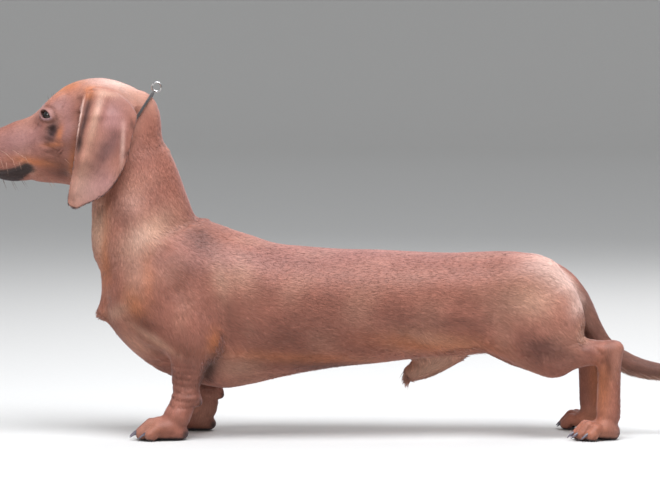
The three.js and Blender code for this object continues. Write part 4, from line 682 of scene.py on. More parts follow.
def drawSurface(field, xs, ys, zs, widen=None):
    # quads where a field is 0: blocks of the grid far from it are passed over, each cell it crosses
    # gets one point, and every point is then drawn onto it
    shape = (len(xs), len(ys), len(zs))

    def place(i, j, k):
        x, y, z = xs[i], ys[j], zs[k]
        return (x, y * widen(x, z), z) if widen else (x, y, z)

    size = 4
    blocks = [np.arange(0, n, size) for n in shape]
    bi, bj, bk = (g.ravel() for g in np.meshgrid(*blocks, indexing="ij"))
    ci, cj, ck = (np.minimum(b + size // 2, n - 1) for b, n in zip((bi, bj, bk), shape))
    x, y, z = place(ci, cj, ck)
    centre = evaluate(field, x, y, z)
    ends = [np.minimum(b + size, n - 1) for b, n in zip((bi, bj, bk), shape)]
    half = 0.5 * np.sqrt(sum((b - a) ** 2 for a, b in zip(place(bi, bj, bk), place(*ends))))
    slack = 2
    keep = np.abs(centre) < 1.8 * half + slack
    values = np.where(keep | (centre >= 0), 1, -1).reshape([len(b) for b in blocks]).astype(np.float32)
    for axis in range(3):
        values = np.repeat(values, size, axis)
    values = values[:shape[0], :shape[1], :shape[2]]
    oi, oj, ok = (g.ravel() for g in np.meshgrid(range(size), range(size), range(size), indexing="ij"))
    i = (bi[keep][:, None] + oi).ravel()
    j = (bj[keep][:, None] + oj).ravel()
    k = (bk[keep][:, None] + ok).ravel()
    real = (i < shape[0]) & (j < shape[1]) & (k < shape[2])
    i, j, k = i[real], j[real], k[real]
    values[i, j, k] = evaluate(field, *place(i, j, k))
    cells, sums, quads = [], [], []
    for axis in range(3):
        one, two = (axis + 1) % 3, (axis + 2) % 3
        near = [slice(None)] * 3
        far = [slice(None)] * 3
        near[axis], far[axis] = slice(None, -1), slice(1, None)
        start, end = values[tuple(near)], values[tuple(far)]
        hit = np.stack(np.nonzero((start < 0) != (end < 0)))
        inner = (hit[one] > 0) & (hit[two] > 0) & (hit[one] < shape[one] - 1) & (hit[two] < shape[two] - 1)
        hit = hit[:, inner]
        a, b = start[tuple(hit)], end[tuple(hit)]
        t = a / (a - b)
        after = hit.copy()
        after[axis] += 1
        spot = [p * (1 - t) + q * t for p, q in zip(place(*hit), place(*after))]
        ring = []
        for d1, d2 in ((-1, -1), (0, -1), (0, 0), (-1, 0)):
            cell = hit.copy()
            cell[one] += d1
            cell[two] += d2
            ring.append((cell[0] * shape[1] + cell[1]) * shape[2] + cell[2])
            cells.append(ring[-1])
            sums.append(np.stack(spot, 1))
        ring = np.stack(ring, 1)
        quads.append(np.where((a < 0)[:, None], ring, ring[:, ::-1]))
    cells, quads = np.concatenate(cells), np.concatenate(quads)
    names, index = np.unique(cells, return_inverse=True)
    count = np.bincount(index)
    sums = np.concatenate(sums)
    points = np.stack([np.bincount(index, sums[:, c]) / count for c in range(3)], 1)
    quads = np.searchsorted(names, quads)
    longest = 0.8
    for _ in range(2):
        slope = gradient(field, points, 0.15)
        value = evaluate(field, *points.T)
        move = -value[:, None] * slope / np.maximum((slope**2).sum(1), 0.15)[:, None]
        points += move * np.minimum(1, longest / np.maximum(np.linalg.norm(move, axis=1), 1e-9))[:, None]
    return points, quads


def meshObject(name, points, faces, material=None):
    data = bpy.data.meshes.new(name)
    faces = np.asarray(faces)
    data.vertices.add(len(points))
    data.vertices.foreach_set("co", (np.asarray(points) / 1000).astype(np.float32).ravel())
    data.loops.add(faces.size)
    data.loops.foreach_set("vertex_index", faces.astype(np.int32).ravel())
    data.polygons.add(len(faces))
    data.polygons.foreach_set("loop_start", np.arange(0, faces.size, faces.shape[1], dtype=np.int32))
    data.update(calc_edges=True)
    data.polygons.foreach_set("use_smooth", np.full(len(faces), True))
    if material:
        data.materials.append(material)
    piece = bpy.data.objects.new(name, data)
    bpy.context.scene.collection.objects.link(piece)
    return piece


def positions(piece):
    points = np.empty(len(piece.data.vertices) * 3, np.float32)
    piece.data.vertices.foreach_get("co", points)
    return points.reshape(-1, 3).astype(float) * 1000


def thinOut(points, faces, triangles):
    # the same surface with fewer triangles, most of them where it is most bent
    draft = meshObject("skinDraft", points, faces)
    modifier = draft.modifiers.new("thin", "DECIMATE")
    modifier.ratio = triangles / (2 * len(faces))
    modifier.use_collapse_triangulate = True
    shaped = draft.evaluated_get(bpy.context.evaluated_depsgraph_get())
    kept = positions(shaped)
    corners = np.empty(len(shaped.data.loops), np.int32)
    shaped.data.loops.foreach_get("vertex_index", corners)
    bpy.data.meshes.remove(draft.data)
    return kept, corners.reshape(-1, 3)


# the width of a cell at each place, finest at the head, the ears and the feet
skinX = gridLines(-402, 402, [-402, -234, -215, -165, -140, 190, 206, 400],
                  [1.1, 1.1, 1.6, 1.8, 2.7, 2.7, 1.6, 1.6])
skinZ = gridLines(-3, 371, [-3, 30, 46, 100, 205, 224, 232, 371],
                  [1.3, 1.3, 1.9, 2.2, 2.4, 1.4, 1.1, 1.1])
skinPoints, skinTriangles = thinOut(*drawSurface(skinField, skinX, np.arange(-58, 59), skinZ, acrossStep),
                                    skin["triangles"])
dogSkin = meshObject("dogSkin", skinPoints, skinTriangles)
fleshNodes = [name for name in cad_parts
              if not name.startswith(("claw", "dewclaw", "collar", "eye", "nose"))]
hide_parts(*fleshNodes)
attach(dogSkin, "root")
print("skin drawn:", len(skinPoints), "points,", len(skinTriangles), "triangles")


# Finishes: helpers, and the effects that several of them share

def tint(*levels):
    # linear colour from levels of 0 to 255
    levels = np.array(levels)
    return np.where(levels <= 10, levels / 3294.6, ((levels / 255 + 0.055) / 1.055) ** 2.4)


def addNode(tree, kind, values=None, **settings):
    # each socket takes a plain value or the output of another node
    made = tree.nodes.new("ShaderNode" + kind)
    for name, value in settings.items():
        setattr(made, name, value)
    for name, value in (values or {}).items():
        if isinstance(value, bpy.types.NodeSocket):
            tree.links.new(value, made.inputs[name])
        else:
            made.inputs[name].default_value = value
    return made


def calculated(tree, operation, *values):
    return addNode(tree, "Math", dict(enumerate(values)), operation=operation).outputs[0]


def stored(tree, name, output="Fac"):
    return addNode(tree, "Attribute", attribute_name=name).outputs[output]


def ownPlace(tree):
    return addNode(tree, "TexCoord").outputs["Object"]


def flatColour(tree, *levels):
    made = addNode(tree, "RGB")
    made.outputs[0].default_value = (*tint(*levels), 1)
    return made.outputs[0]


def newMaterial(name, values):
    material = bpy.data.materials.new(name)
    material.use_nodes = True
    shader = material.node_tree.nodes["Principled BSDF"]
    for socket, value in values.items():
        shader.inputs[socket].default_value = value
    return material, material.node_tree, shader


def colourFrom(tree, shader, colour, shade):
    # the base colour, made lighter and darker by a shade
    scaled = addNode(tree, "VectorMath", {0: colour, 3: shade}, operation="SCALE")
    tree.links.new(scaled.outputs["Vector"], shader.inputs["Base Color"])


def bumpFrom(tree, shader, height, strength, distance):
    made = addNode(tree, "Bump", {"Height": height, "Strength": strength, "Distance": distance})
    tree.links.new(made.outputs["Normal"], shader.inputs["Normal"])


def stretchedNoise(tree, spot, scale, stretch, detail, rotation=(0, 0, 0)):
    turned = addNode(tree, "Mapping", {"Vector": spot, "Rotation": rotation, "Scale": stretch},
                     vector_type="TEXTURE")
    values = {"Vector": turned.outputs[0], "Scale": scale, "Detail": detail, "Roughness": 0.55}
    return addNode(tree, "TexNoise", values).outputs["Fac"]


def newGrain(name, inputs):
    group = bpy.data.node_groups.new(name, "ShaderNodeTree")
    for label, value in inputs.items():
        socket = group.interface.new_socket(label, in_out="INPUT", socket_type="NodeSocketFloat")
        socket.default_value = value
    for label in ("Shade", "Height"):
        group.interface.new_socket(label, in_out="OUTPUT", socket_type="NodeSocketFloat")
    return group, group.nodes.new("NodeGroupInput").outputs, group.nodes.new("NodeGroupOutput").inputs


def finishGrain(group, given, results, pattern, middle, height):
    # the shade swings about 1 as the pattern swings about its middle
    centred = calculated(group, "ADD", pattern, -middle)
    group.links.new(calculated(group, "MULTIPLY_ADD", centred, given["Strength"], 1.0), results["Shade"])
    group.links.new(height, results["Height"])
    return group


def makeHairGrain():
    # fine streaks that run along the body where "Hanging" is 0 and down it where it is 1
    group, given, results = newGrain("hairGrain", {"Scale": 900, "Hanging": 0, "Strength": 0.3})
    spot = ownPlace(group)
    level = stretchedNoise(group, spot, given["Scale"], (7, 1, 1), 3, (0, 0.28, 0))
    down = stretchedNoise(group, spot, given["Scale"], (1, 1, 7), 3)
    mixed = addNode(group, "Mix", {0: given["Hanging"], 2: level, 3: down}).outputs[0]
    broad = stretchedNoise(group, spot, 42, (2.2, 1, 1), 2, (0, 0.4, 0))
    return finishGrain(group, given, results, calculated(group, "ADD", mixed, broad), 1.0, mixed)


def makeFineGrain():
    # small pits and pebbles, with softer patches between them
    group, given, results = newGrain("fineGrain", {"Scale": 900, "Strength": 0.3})
    spot = ownPlace(group)
    cells = addNode(group, "TexVoronoi", {"Vector": spot, "Scale": given["Scale"]}, feature="SMOOTH_F1")
    patch = addNode(group, "TexNoise", {"Vector": spot, "Scale": 160, "Detail": 3}).outputs["Fac"]
    height = calculated(group, "SUBTRACT", 1.0, cells.outputs["Distance"])
    return finishGrain(group, given, results, calculated(group, "ADD", height, patch), 1.1, height)


hairGrain = makeHairGrain()
fineGrain = makeFineGrain()


def placeFineGrain(tree, scale, strength):
    placed = addNode(tree, "Group", {"Scale": scale, "Strength": strength}, node_tree=fineGrain)
    return placed.outputs["Shade"], placed.outputs["Height"]


def makeCoatMaterial(name, bumpDepth):
    material, tree, shader = newMaterial(name, {
        "Roughness": 0.54, "Specular IOR Level": 0.38, "Sheen Weight": 0.27, "Sheen Roughness": 0.42,
        "Sheen Tint": (0.94, 0.82, 0.88, 1)})
    values = {"Scale": 1100, "Hanging": stored(tree, "hanging"), "Strength": 0.55}
    grain = addNode(tree, "Group", values, node_tree=hairGrain)
    colourFrom(tree, shader, stored(tree, "paint", "Color"), grain.outputs["Shade"])
    bumpFrom(tree, shader, grain.outputs["Height"], 0.5, bumpDepth)
    return material


def makeHornMaterial():
    material, tree, shader = newMaterial("clawHorn", {
        "Roughness": 0.27, "Coat Weight": 0.35, "Coat Roughness": 0.16})
    colours = addNode(tree, "ValToRGB", {"Fac": stored(tree, "along")})
    colours.color_ramp.elements[0].color = (*tint(52, 42, 44), 1)
    colours.color_ramp.elements[1].color = (*tint(118, 110, 122), 1)
    shade, _ = placeFineGrain(tree, 2600, 0.5)
    colourFrom(tree, shader, colours.outputs["Color"], shade)
    bumpFrom(tree, shader, stretchedNoise(tree, ownPlace(tree), 1500, (6, 1, 1), 2), 0.35, 0.0002)
    return material


def makeNoseMaterial():
    material, tree, shader = newMaterial("noseLeather", {
        "Roughness": 0.36, "Specular IOR Level": 0.55, "Coat Weight": 0.25, "Coat Roughness": 0.3})
    shade, height = placeFineGrain(tree, 1150, 0.7)
    colourFrom(tree, shader, flatColour(tree, 44, 36, 37), shade)
    bumpFrom(tree, shader, height, 0.8, 0.00035)
    return material


def makeEyeMaterial():
    # from the pupil over the iris and its dark rim to the white, by the angle from the gaze
    material, tree, shader = newMaterial("darkEye", {
        "Roughness": 0.1, "Coat Weight": 0.6, "Coat Roughness": 0.03, "Specular IOR Level": 0.4})
    colours = addNode(tree, "ValToRGB", {"Fac": stored(tree, "gaze")})
    stops = colours.color_ramp.elements
    for stop, place in zip(stops, (0.0, 0.30)):
        stop.position, stop.color = place, (0.004, 0.003, 0.003, 1)
    for place, levels in ((0.34, (40, 23, 15)), (0.52, (58, 34, 20)), (0.60, (24, 16, 13)),
                          (0.70, (44, 33, 30)), (0.85, (130, 112, 106))):
        stops.new(place).color = (*tint(*levels), 1)
    fibres = addNode(tree, "TexNoise", {"Vector": ownPlace(tree), "Scale": 900, "Detail": 4}).outputs["Fac"]
    colourFrom(tree, shader, colours.outputs["Color"], calculated(tree, "MULTIPLY_ADD", fibres, 0.9, 0.55))
    return material


def makeCordMaterial():
    material, tree, shader = newMaterial("collarCord", {
        "Roughness": 0.7, "Sheen Weight": 0.3, "Sheen Roughness": 0.5})
    threads = addNode(tree, "TexNoise", {"Vector": ownPlace(tree), "Scale": 2400, "Detail": 2}).outputs["Fac"]
    shade = calculated(tree, "MULTIPLY_ADD", threads, 1.2, 0.4)
    colourFrom(tree, shader, flatColour(tree, 58, 52, 50), shade)
    bumpFrom(tree, shader, threads, 0.6, 0.0002)
    return material


def makeRingMaterial():
    material, tree, shader = newMaterial("ringMetal", {"Metallic": 1.0, "Roughness": 0.28})
    shade, height = placeFineGrain(tree, 1500, 0.3)
    colourFrom(tree, shader, flatColour(tree, 186, 184, 182), shade)
    tree.links.new(calculated(tree, "MULTIPLY", shade, 0.28), shader.inputs["Roughness"])
    bumpFrom(tree, shader, height, 0.2, 0.0001)
    return material


def storeValues(piece, name, values):
    attribute = piece.data.attributes.new(name, "FLOAT", "POINT")
    attribute.data.foreach_set("value", np.asarray(values, np.float32))


def storeColours(piece, name, colours):
    attribute = piece.data.attributes.new(name, "FLOAT_COLOR", "POINT")
    filled = np.ones((len(colours), 4), np.float32)
    filled[:, :3] = colours
    attribute.data.foreach_set("color", filled.ravel())


def ringFaces(rings, sides, first=0, capped=False):
    # quads between rings of points
    faces = []
    for i in range(rings - 1):
        for j in range(sides):
            a, b = first + i * sides + j, first + i * sides + (j + 1) % sides
            faces.append((a, b, b + sides, a + sides))
    for j in range(sides // 2 - 1) if capped else ():
        across = np.array((j, j + 1, sides - 2 - j, sides - 1 - j))
        faces += [tuple(first + across[::-1]), tuple(first + (rings - 1) * sides + across)]
    return faces


# Eyes: balls with a low cornea, dark brown

eyeLook = {"rings": 26, "sides": 40, "corneaRise": 0.75, "corneaAngle": 0.66, "behindLids": 0.25}


def makeEyes(material):
    points, faces, gaze = [], [], []
    for side in (-1, 1):
        axes = eyeFrames[side]
        first = len(points)
        for angle in np.linspace(0.03, math.pi - 0.03, eyeLook["rings"] + 1):
            rise = eyeLook["corneaRise"] * max(1 - (angle / eyeLook["corneaAngle"]) ** 2, 0) ** 0.8
            radius = eye["radius"] - eyeLook["behindLids"] + rise * 0.5
            for j in range(eyeLook["sides"]):
                turn = 2 * math.pi * j / eyeLook["sides"]
                spot = (axes["out"] * math.cos(angle)
                        + (axes["lids"] * math.cos(turn) + axes["across"] * math.sin(turn)) * math.sin(angle))
                points.append(axes["centre"] + spot * radius)
                gaze.append(angle)
        ringed = ringFaces(eyeLook["rings"] + 1, eyeLook["sides"], first, True)
        faces += ringed if side < 0 else [face[::-1] for face in ringed]
    piece = meshObject("dogEyes", points, faces, material)
    storeValues(piece, "gaze", gaze)
    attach(piece, "root")
    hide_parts("eye_left", "eye_right")


# Nose: the end of the muzzle in pebbled leather, over the skin

nose = {"proud": 0.55, "edge": -383.2, "level": 298, "lean": 0.21, "bottom": 287.0, "step": 0.55}


def noseField(x, y, z):
    behind = x - nose["edge"] - nose["lean"] * (nose["level"] - z)
    below = nose["bottom"] - z + 0.09 * np.abs(y) ** 1.5
    return smoothMax(smoothMax(skinField(x, y, z) - nose["proud"], behind, 1.6), below, 2.0)


def makeNose(material):
    step = nose["step"]
    grid = (np.arange(low, high + step, step) for low, high in ((-402, -376), (-16, 16), (282, 313)))
    points, quads = drawSurface(noseField, *grid)
    piece = meshObject("noseLeather", points, quads, material)
    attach(piece, "root")
    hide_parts("nose")


# Claws: blunt, curved, narrowing to the tip

# form: radius, length, and how far the tip bends down
claw = {"form": (2.7, 10.2, 5.4), "dewForm": (2.0, 7.4, 2.4), "rings": 9, "sides": 12, "narrow": 0.78}


def clawPoints(start, aim, radius, length, droop):
    side = unit(np.cross(aim, (0, 0, 1)))
    up = unit(np.cross(side, aim))
    points = []
    for i in range(claw["rings"]):
        s = i / (claw["rings"] - 1)
        centre = start + aim * length * (1.12 * s - 0.12) - up * droop * s * s
        r = radius * math.sqrt(max(1 - s ** 2.4, 0.012)) * (1 - 0.42 * s)
        for j in range(claw["sides"]):
            angle = 2 * math.pi * j / claw["sides"]
            flat = 1 - 0.25 * max(-math.sin(angle), 0)
            points.append(centre + side * r * claw["narrow"] * math.cos(angle)
                          + up * r * flat * math.sin(angle))
    return points


def makeClaws(material):
    points, faces, along, nodes = [], [], [], []

    def addClaw(*form):
        first = len(points)
        points.extend(clawPoints(*form))
        faces.extend(ringFaces(claw["rings"], claw["sides"], first, True))
        along.extend(np.repeat(np.linspace(0, 1, claw["rings"]), claw["sides"]))

    for side, tag in ((-1, "left"), (1, "right")):
        for foot, place in ((foreFoot(side), "front"), (hindFoot(side), "hind")):
            aim = np.array((-math.cos(foot["turn"]), -math.sin(foot["turn"]), 0))
            for number, toe in enumerate(foot["toes"]):
                tip = np.array(toePoints(foot, toe)[2])
                addClaw(tip + (0, 0, 1.6) + aim * (toe[4] - 4.2), aim, *claw["form"])
                nodes.append(f"claw_{place}_{tag}_{number + 1}")
        start = np.array(onFoot(foreFoot(side), 0, side * -17.5, 16))
        addClaw(start, unit((-0.8, side * -0.25, -0.55)), *claw["dewForm"])
        nodes.append(f"dewclaw_{tag}")
    piece = meshObject("dogClaws", points, faces, material)
    storeValues(piece, "along", along)
    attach(piece, "root")
    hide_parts(*nodes)


# Collar: a thin cord of three twisted strands lying round the neck, and its ring

collar = {"radius": 1.5, "lift": 1.2, "middle": (-250, 0, 297), "up": (0.523, 0, 0.852),
          "strands": 3, "strandRadius": 0.78, "pitch": 7.5, "rings": 540, "sides": 7,
          "ringRadius": 4.6, "ringWire": 1.0, "gap": 0.3}


def collarRoute():
    # out from the middle of the neck until the coat ends, in 36 directions
    up = unit(collar["up"])
    middle = np.array(collar["middle"])
    reaches = np.arange(20, 80, 0.25)
    route = []
    for angle in np.linspace(0, 2 * math.pi, 36, endpoint=False):
        ray = up * math.cos(angle) + np.array((0, 1, 0)) * math.sin(angle)
        spots = middle + ray * reaches[:, None]
        outside = bodyField(*spots.T) >= 0
        route.append(middle + ray * (reaches[np.argmax(outside)] + collar["radius"] + collar["lift"]))
    return np.array(route)


def squareAxes(centres, outward):
    # two directions square to a closed curve at each of its points, the first as far outward as it can be
    along = unitRows(np.roll(centres, -1, 0) - np.roll(centres, 1, 0))
    out = unitRows(squareTo(outward, along))
    return out, np.cross(along, out)


def closedTube(centres, outward, radius, sides):
    out, across = squareAxes(centres, outward)
    angles = 2 * np.pi * np.arange(sides) / sides
    points = (centres[:, None] + out[:, None] * (radius * np.cos(angles))[None, :, None]
              + across[:, None] * (radius * np.sin(angles))[None, :, None]).reshape(-1, 3)
    i, j = (g.ravel() for g in np.meshgrid(range(len(centres)), range(sides), indexing="ij"))
    after, beside = (i + 1) % len(centres) * sides, (j + 1) % sides
    return points, np.stack([i * sides + j, i * sides + beside, after + beside, after + j], 1)


def makeCollar(cordMaterial, ringMaterial):
    route = collarRoute()
    centres = closedCurve(route, collar["rings"])
    out, across = squareAxes(centres, centres - centres.mean(0))
    length = np.linalg.norm(np.roll(centres, -1, 0) - centres, axis=1).sum()
    twists = round(length / collar["pitch"])
    points, faces = [], []
    for strand in range(collar["strands"]):
        share = twists * np.arange(collar["rings"]) / collar["rings"] + strand / collar["strands"]
        turn = 2 * np.pi * share
        shift = out * np.cos(turn)[:, None] + across * np.sin(turn)[:, None]
        reach = collar["radius"] - collar["strandRadius"]
        tube, quads = closedTube(centres + shift * reach, shift, collar["strandRadius"], collar["sides"])
        points.append(tube)
        faces.append(quads + strand * len(tube))
    cord = meshObject("collarCord", np.concatenate(points), np.concatenate(faces), cordMaterial)
    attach(cord, "root")
    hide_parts("collar")
    lift = collar["radius"] + collar["ringWire"] + collar["ringRadius"] + collar["gap"]
    middle = route[0] + np.array(collar["up"]) * lift
    angles = np.linspace(0, 2 * math.pi, 56, endpoint=False)
    spokes = np.stack([np.cos(angles), 0 * angles, np.sin(angles)], 1)
    tube, quads = closedTube(middle + spokes * collar["ringRadius"], spokes, collar["ringWire"], 14)
    ring = meshObject("collarRing", tube, quads, ringMaterial)
    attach(ring, "root")
    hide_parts("collar_ring")


dogSkin.data.materials.append(makeCoatMaterial("redCoatSkin", 0.0004))
makeEyes(makeEyeMaterial())
makeNose(makeNoseMaterial())
makeClaws(makeHornMaterial())
makeCollar(makeCordMaterial(), makeRingMaterial())
print("eyes, nose, claws and collar made")


# Markings of the coat, with painted shade and painted highlights: one base colour and soft patches, the same
# on the skin and on every tuft

coatColours = {
    "base": (156, 99, 82), "pale": (222, 184, 170), "sand": (200, 156, 132), "orange": (192, 112, 60),
    "deep": (100, 56, 44), "dark": (56, 32, 28), "black": (22, 18, 20), "rim": (132, 118, 130),
    "mauve": (152, 112, 112), "grey": (112, 86, 74)}
# colour, x, z, reach along and across, tilt in degrees, strength, least and greatest distance from the
# mid-plane
patches = [
    ("sand", -224, 210, 30, 15, 38, 0.9, 12, 90),  # side of the neck
    ("pale", -230, 207, 14, 12, 30, 0.3, 12, 90),
    ("sand", -232, 178, 14, 24, 0, 0.35, 10, 90),
    ("deep", -246, 230, 9, 24, 8, 0.35, 16, 90),  # painted shade in the hollow of the throat
    ("orange", -266, 190, 9, 46, -6, 0.6, 0, 34),  # front of the throat
    ("sand", -271, 214, 6, 26, 0, 0.5, 0, 30),
    ("orange", -236, 138, 10, 16, 20, 0.55, 16, 90),
    ("sand", -254, 132, 14, 7, 30, 0.6, 8, 90),  # over the breastbone
    ("deep", -226, 120, 15, 9, -35, 0.65, 20, 90),
    ("deep", -215, 90, 12, 6, -35, 0.6, 18, 90),
    ("deep", -192, 160, 12, 24, -20, 0.3, 30, 90),  # shoulder
    ("sand", -151, 166, 8, 22, 14, 0.4, 30, 90),
    ("orange", -222, 170, 7, 26, 0, 0.3, 24, 90),
    ("sand", -216, 104, 30, 4, -32, 0.55, 14, 90),  # ridge of the chest
    ("sand", -236, 98, 24, 12, -36, 0.35, 8, 90),
    ("deep", -170, 205, 15, 13, -30, 0.72, 0, 60),  # painted shadow in the dip before the withers
    ("deep", -211, 261, 10, 18, -20, 0.28, 0, 90),
    ("pale", -237, 241, 12, 14, 0, 0.22, 20, 90),
    ("sand", -274, 214, 10, 24, 0, 0.85, 0, 90),  # throat
    ("deep", -190, 168, 26, 16, -30, 0.2, 20, 90),
    ("orange", -155, 103, 7, 12, -10, 0.62, 20, 90),  # elbow: painted warm light reflected in its skin fold
    ("dark", -160, 71, 7, 21, -22, 0.95, 20, 90),  # painted shadow in the gap behind the forearm, against the chest
    ("deep", -180, 78, 12, 22, 4, 0.55, 20, 90),
    ("deep", -148, 98, 5, 22, -8, 0.55, 20, 90),
    ("sand", -128, 74, 22, 12, 12, 0.45, 10, 90),  # behind the elbow
    ("deep", -44, 72, 90, 8, -5, 0.5, 0, 60),  # lower edge of the chest: painted shade on the underside
    ("mauve", -10, 188, 210, 14, 1, 0.3, 0, 90),  # top of the back: a painted cool sheen from the light above
    ("deep", 34, 108, 26, 12, -8, 0.22, 20, 90),
    ("dark", 176, 92, 15, 10, 0, 0.35, 20, 90),
    ("sand", 156, 140, 26, 14, 0, 0.22, 20, 90),
    ("orange", -60, 82, 90, 7, -5, 0.38, 0, 90),
    # painted shade along the underside of the chest
    ("dark", -36, 73, 60, 7, -4, 0.5, 0, 90),
    # lower flank: partly a darker coat, mostly painted shade where the flank curves under
    ("deep", -70, 108, 70, 20, -6, 0.36, 20, 90),
    ("deep", -66, 150, 60, 20, -4, 0.16, 20, 90),
    ("sand", -128, 168, 12, 22, 20, 0.28, 20, 90),
    ("orange", 66, 98, 56, 11, -4, 0.5, 8, 90),  # belly
    ("sand", 60, 104, 34, 8, -12, 0.35, 20, 90),
    ("deep", 60, 124, 60, 8, -10, 0.28, 20, 90),
    ("sand", 64, 72, 30, 12, 8, 0.75, 0, 16),  # sheath
    ("dark", 172, 98, 26, 10, -10, 0.6, 20, 90),  # thigh
    ("deep", 186, 86, 26, 14, -6, 0.6, 20, 90),
    ("pale", 196, 166, 28, 11, -40, 1.0, 10, 90),  # rump beside the root of the tail, with the next two rows: a painted highlight where it faces the light above
    ("pale", 182, 170, 32, 15, -24, 0.48, 8, 90),
    ("pale", 214, 142, 9, 16, -30, 0.85, 12, 90),
    ("sand", 218, 112, 8, 16, -22, 0.6, 12, 90),
    ("sand", 160, 146, 34, 22, 0, 0.45, 20, 90),
    ("orange", 236, 46, 8, 34, 4, 0.35, 20, 90),
    # painted shade in the groove beside the tendon, down the hock
    ("deep", 241, 70, 5, 30, -8, 0.75, 20, 90),
    ("deep", 238, 66, 7, 16, 0, 0.5, 20, 90),
    ("orange", 238, 62, 9, 22, 0, 0.3, 20, 90),
    # painted shade in the groove beside the tendon, above the hock
    ("deep", 222, 92, 20, 4, -24, 0.6, 20, 90),
    ("deep", -208, 10, 20, 12, 0, 0.2, 0, 90),
    ("orange", -212, 12, 18, 12, 0, 0.12, 0, 90),
    ("orange", 222, 12, 16, 12, 0, 0.22, 0, 90),
    ("orange", -309, 354, 34, 7, 30, 0.75, 0, 30),  # forehead
    ("orange", -282, 354, 9, 5, 10, 0.55, 22, 90),  # front of the ear root
    ("pale", -250, 362, 44, 8, -6, 0.85, 0, 34),  # top of the skull: a painted highlight from the light above
    ("sand", -236, 348, 26, 9, -30, 0.35, 0, 90),
    ("mauve", -352, 302, 36, 16, 12, 0.6, 8, 90),  # muzzle
    ("mauve", -312, 338, 14, 12, 0, 0.5, 14, 90),
    ("mauve", -303, 312, 6, 26, 0, 0.4, 14, 90),
    ("dark", -318.5, 312, 6.2, 11, -14, 1.2, 14, 90),  # hollow under the eye: painted shade, the same on both sides
    ("orange", -310.5, 309, 3.0, 8, -14, 0.6, 18, 90),
    ("orange", -318, 298, 12, 2.5, 4, 0.5, 14, 90),
    ("deep", -310, 276, 17, 9, 6, 0.65, 12, 90),  # cheek behind the mouth
    ("dark", -308, 269, 9, 5, 10, 0.5, 12, 90),
    ("deep", -316, 292, 13, 3.6, 4, 0.45, 14, 90),
    ("orange", -297, 280, 4.5, 18, -4, 0.6, 14, 90),
    ("orange", -340, 281, 22, 4.2, -8, 0.6, 6, 90),  # above the lip
    ("sand", -344, 274, 8, 4, -30, 0.35, 6, 90),
]
earPatches = [
    # the dark patches of these two rows are painted shade in the groove behind the front rim; the sand one is
    # a painted highlight on the ridge
    ("dark", -280.5, 338, 3.4, 17, -12, 0.8), ("dark", -285.5, 318, 3.0, 17, -11, 0.85),
    ("dark", -289.5, 299, 3.0, 12, -8, 0.95), ("sand", -273, 326, 4.5, 28, -13, 0.7),
    # painted shade in the hollow of the ear
    ("deep", -255, 303, 7, 15, -30, 0.8), ("deep", -265.5, 287, 7, 15, -33, 0.8),
    ("mauve", -256, 325, 14, 18, 0, 0.6), ("sand", -288, 262, 8, 26, -12, 0.5),
    # the pale patch is a painted highlight on the rear ridge of the ear
    ("pale", -246, 296, 2.4, 20, -2, 0.5), ("mauve", -276, 250, 20, 18, 0, 0.45),
    # the first patch is painted shadow under the rear margin of the ear
    ("dark", -240.5, 290.5, 5.5, 2.4, 30, 0.8), ("dark", -236, 318, 2.6, 6, 10, 0.6),
    # the pale patch is a painted highlight along the front rim of the ear
    ("pale", -289.5, 322, 1.3, 34, -10, 0.8), ("sand", -262, 350, 14, 3, -10, 0.6),
    ("orange", -281, 350, 6, 5, 0, 0.6), ("mauve", -262, 262, 16, 14, -30, 0.5),
    ("pale", -282, 252, 16, 20, -20, 0.22), ("mauve", -262, 294, 12, 16, -30, 0.35),
]


def colourOf(name):
    return tint(*coatColours[name])


def lay(colours, name, amount):
    colours += (colourOf(name) - colours) * np.clip(amount, 0, 1)[:, None]


def softSpot(x, z, px, pz, along, across, tilt):
    # 1 at the middle of an oval in side view, fading outward
    c, s = math.cos(math.radians(tilt)), math.sin(math.radians(tilt))
    u, v = (x - px) * c + (z - pz) * s, -(x - px) * s + (z - pz) * c
    return np.exp(-(u / along) ** 2 - (v / across) ** 2)


def slowNoise(points, scale, seed):
    # a smooth field between about -1 and 1, made of a few waves in seeded directions
    draw = np.random.default_rng(seed)
    total = np.zeros(len(points))
    waves = 7
    for _ in range(waves):
        way = draw.normal(size=3)
        way *= draw.uniform(0.6, 1.7) / np.linalg.norm(way)
        total += np.sin(points @ way * (2 * math.pi / scale) + draw.uniform(0, 6.28))
    return total / 3.2


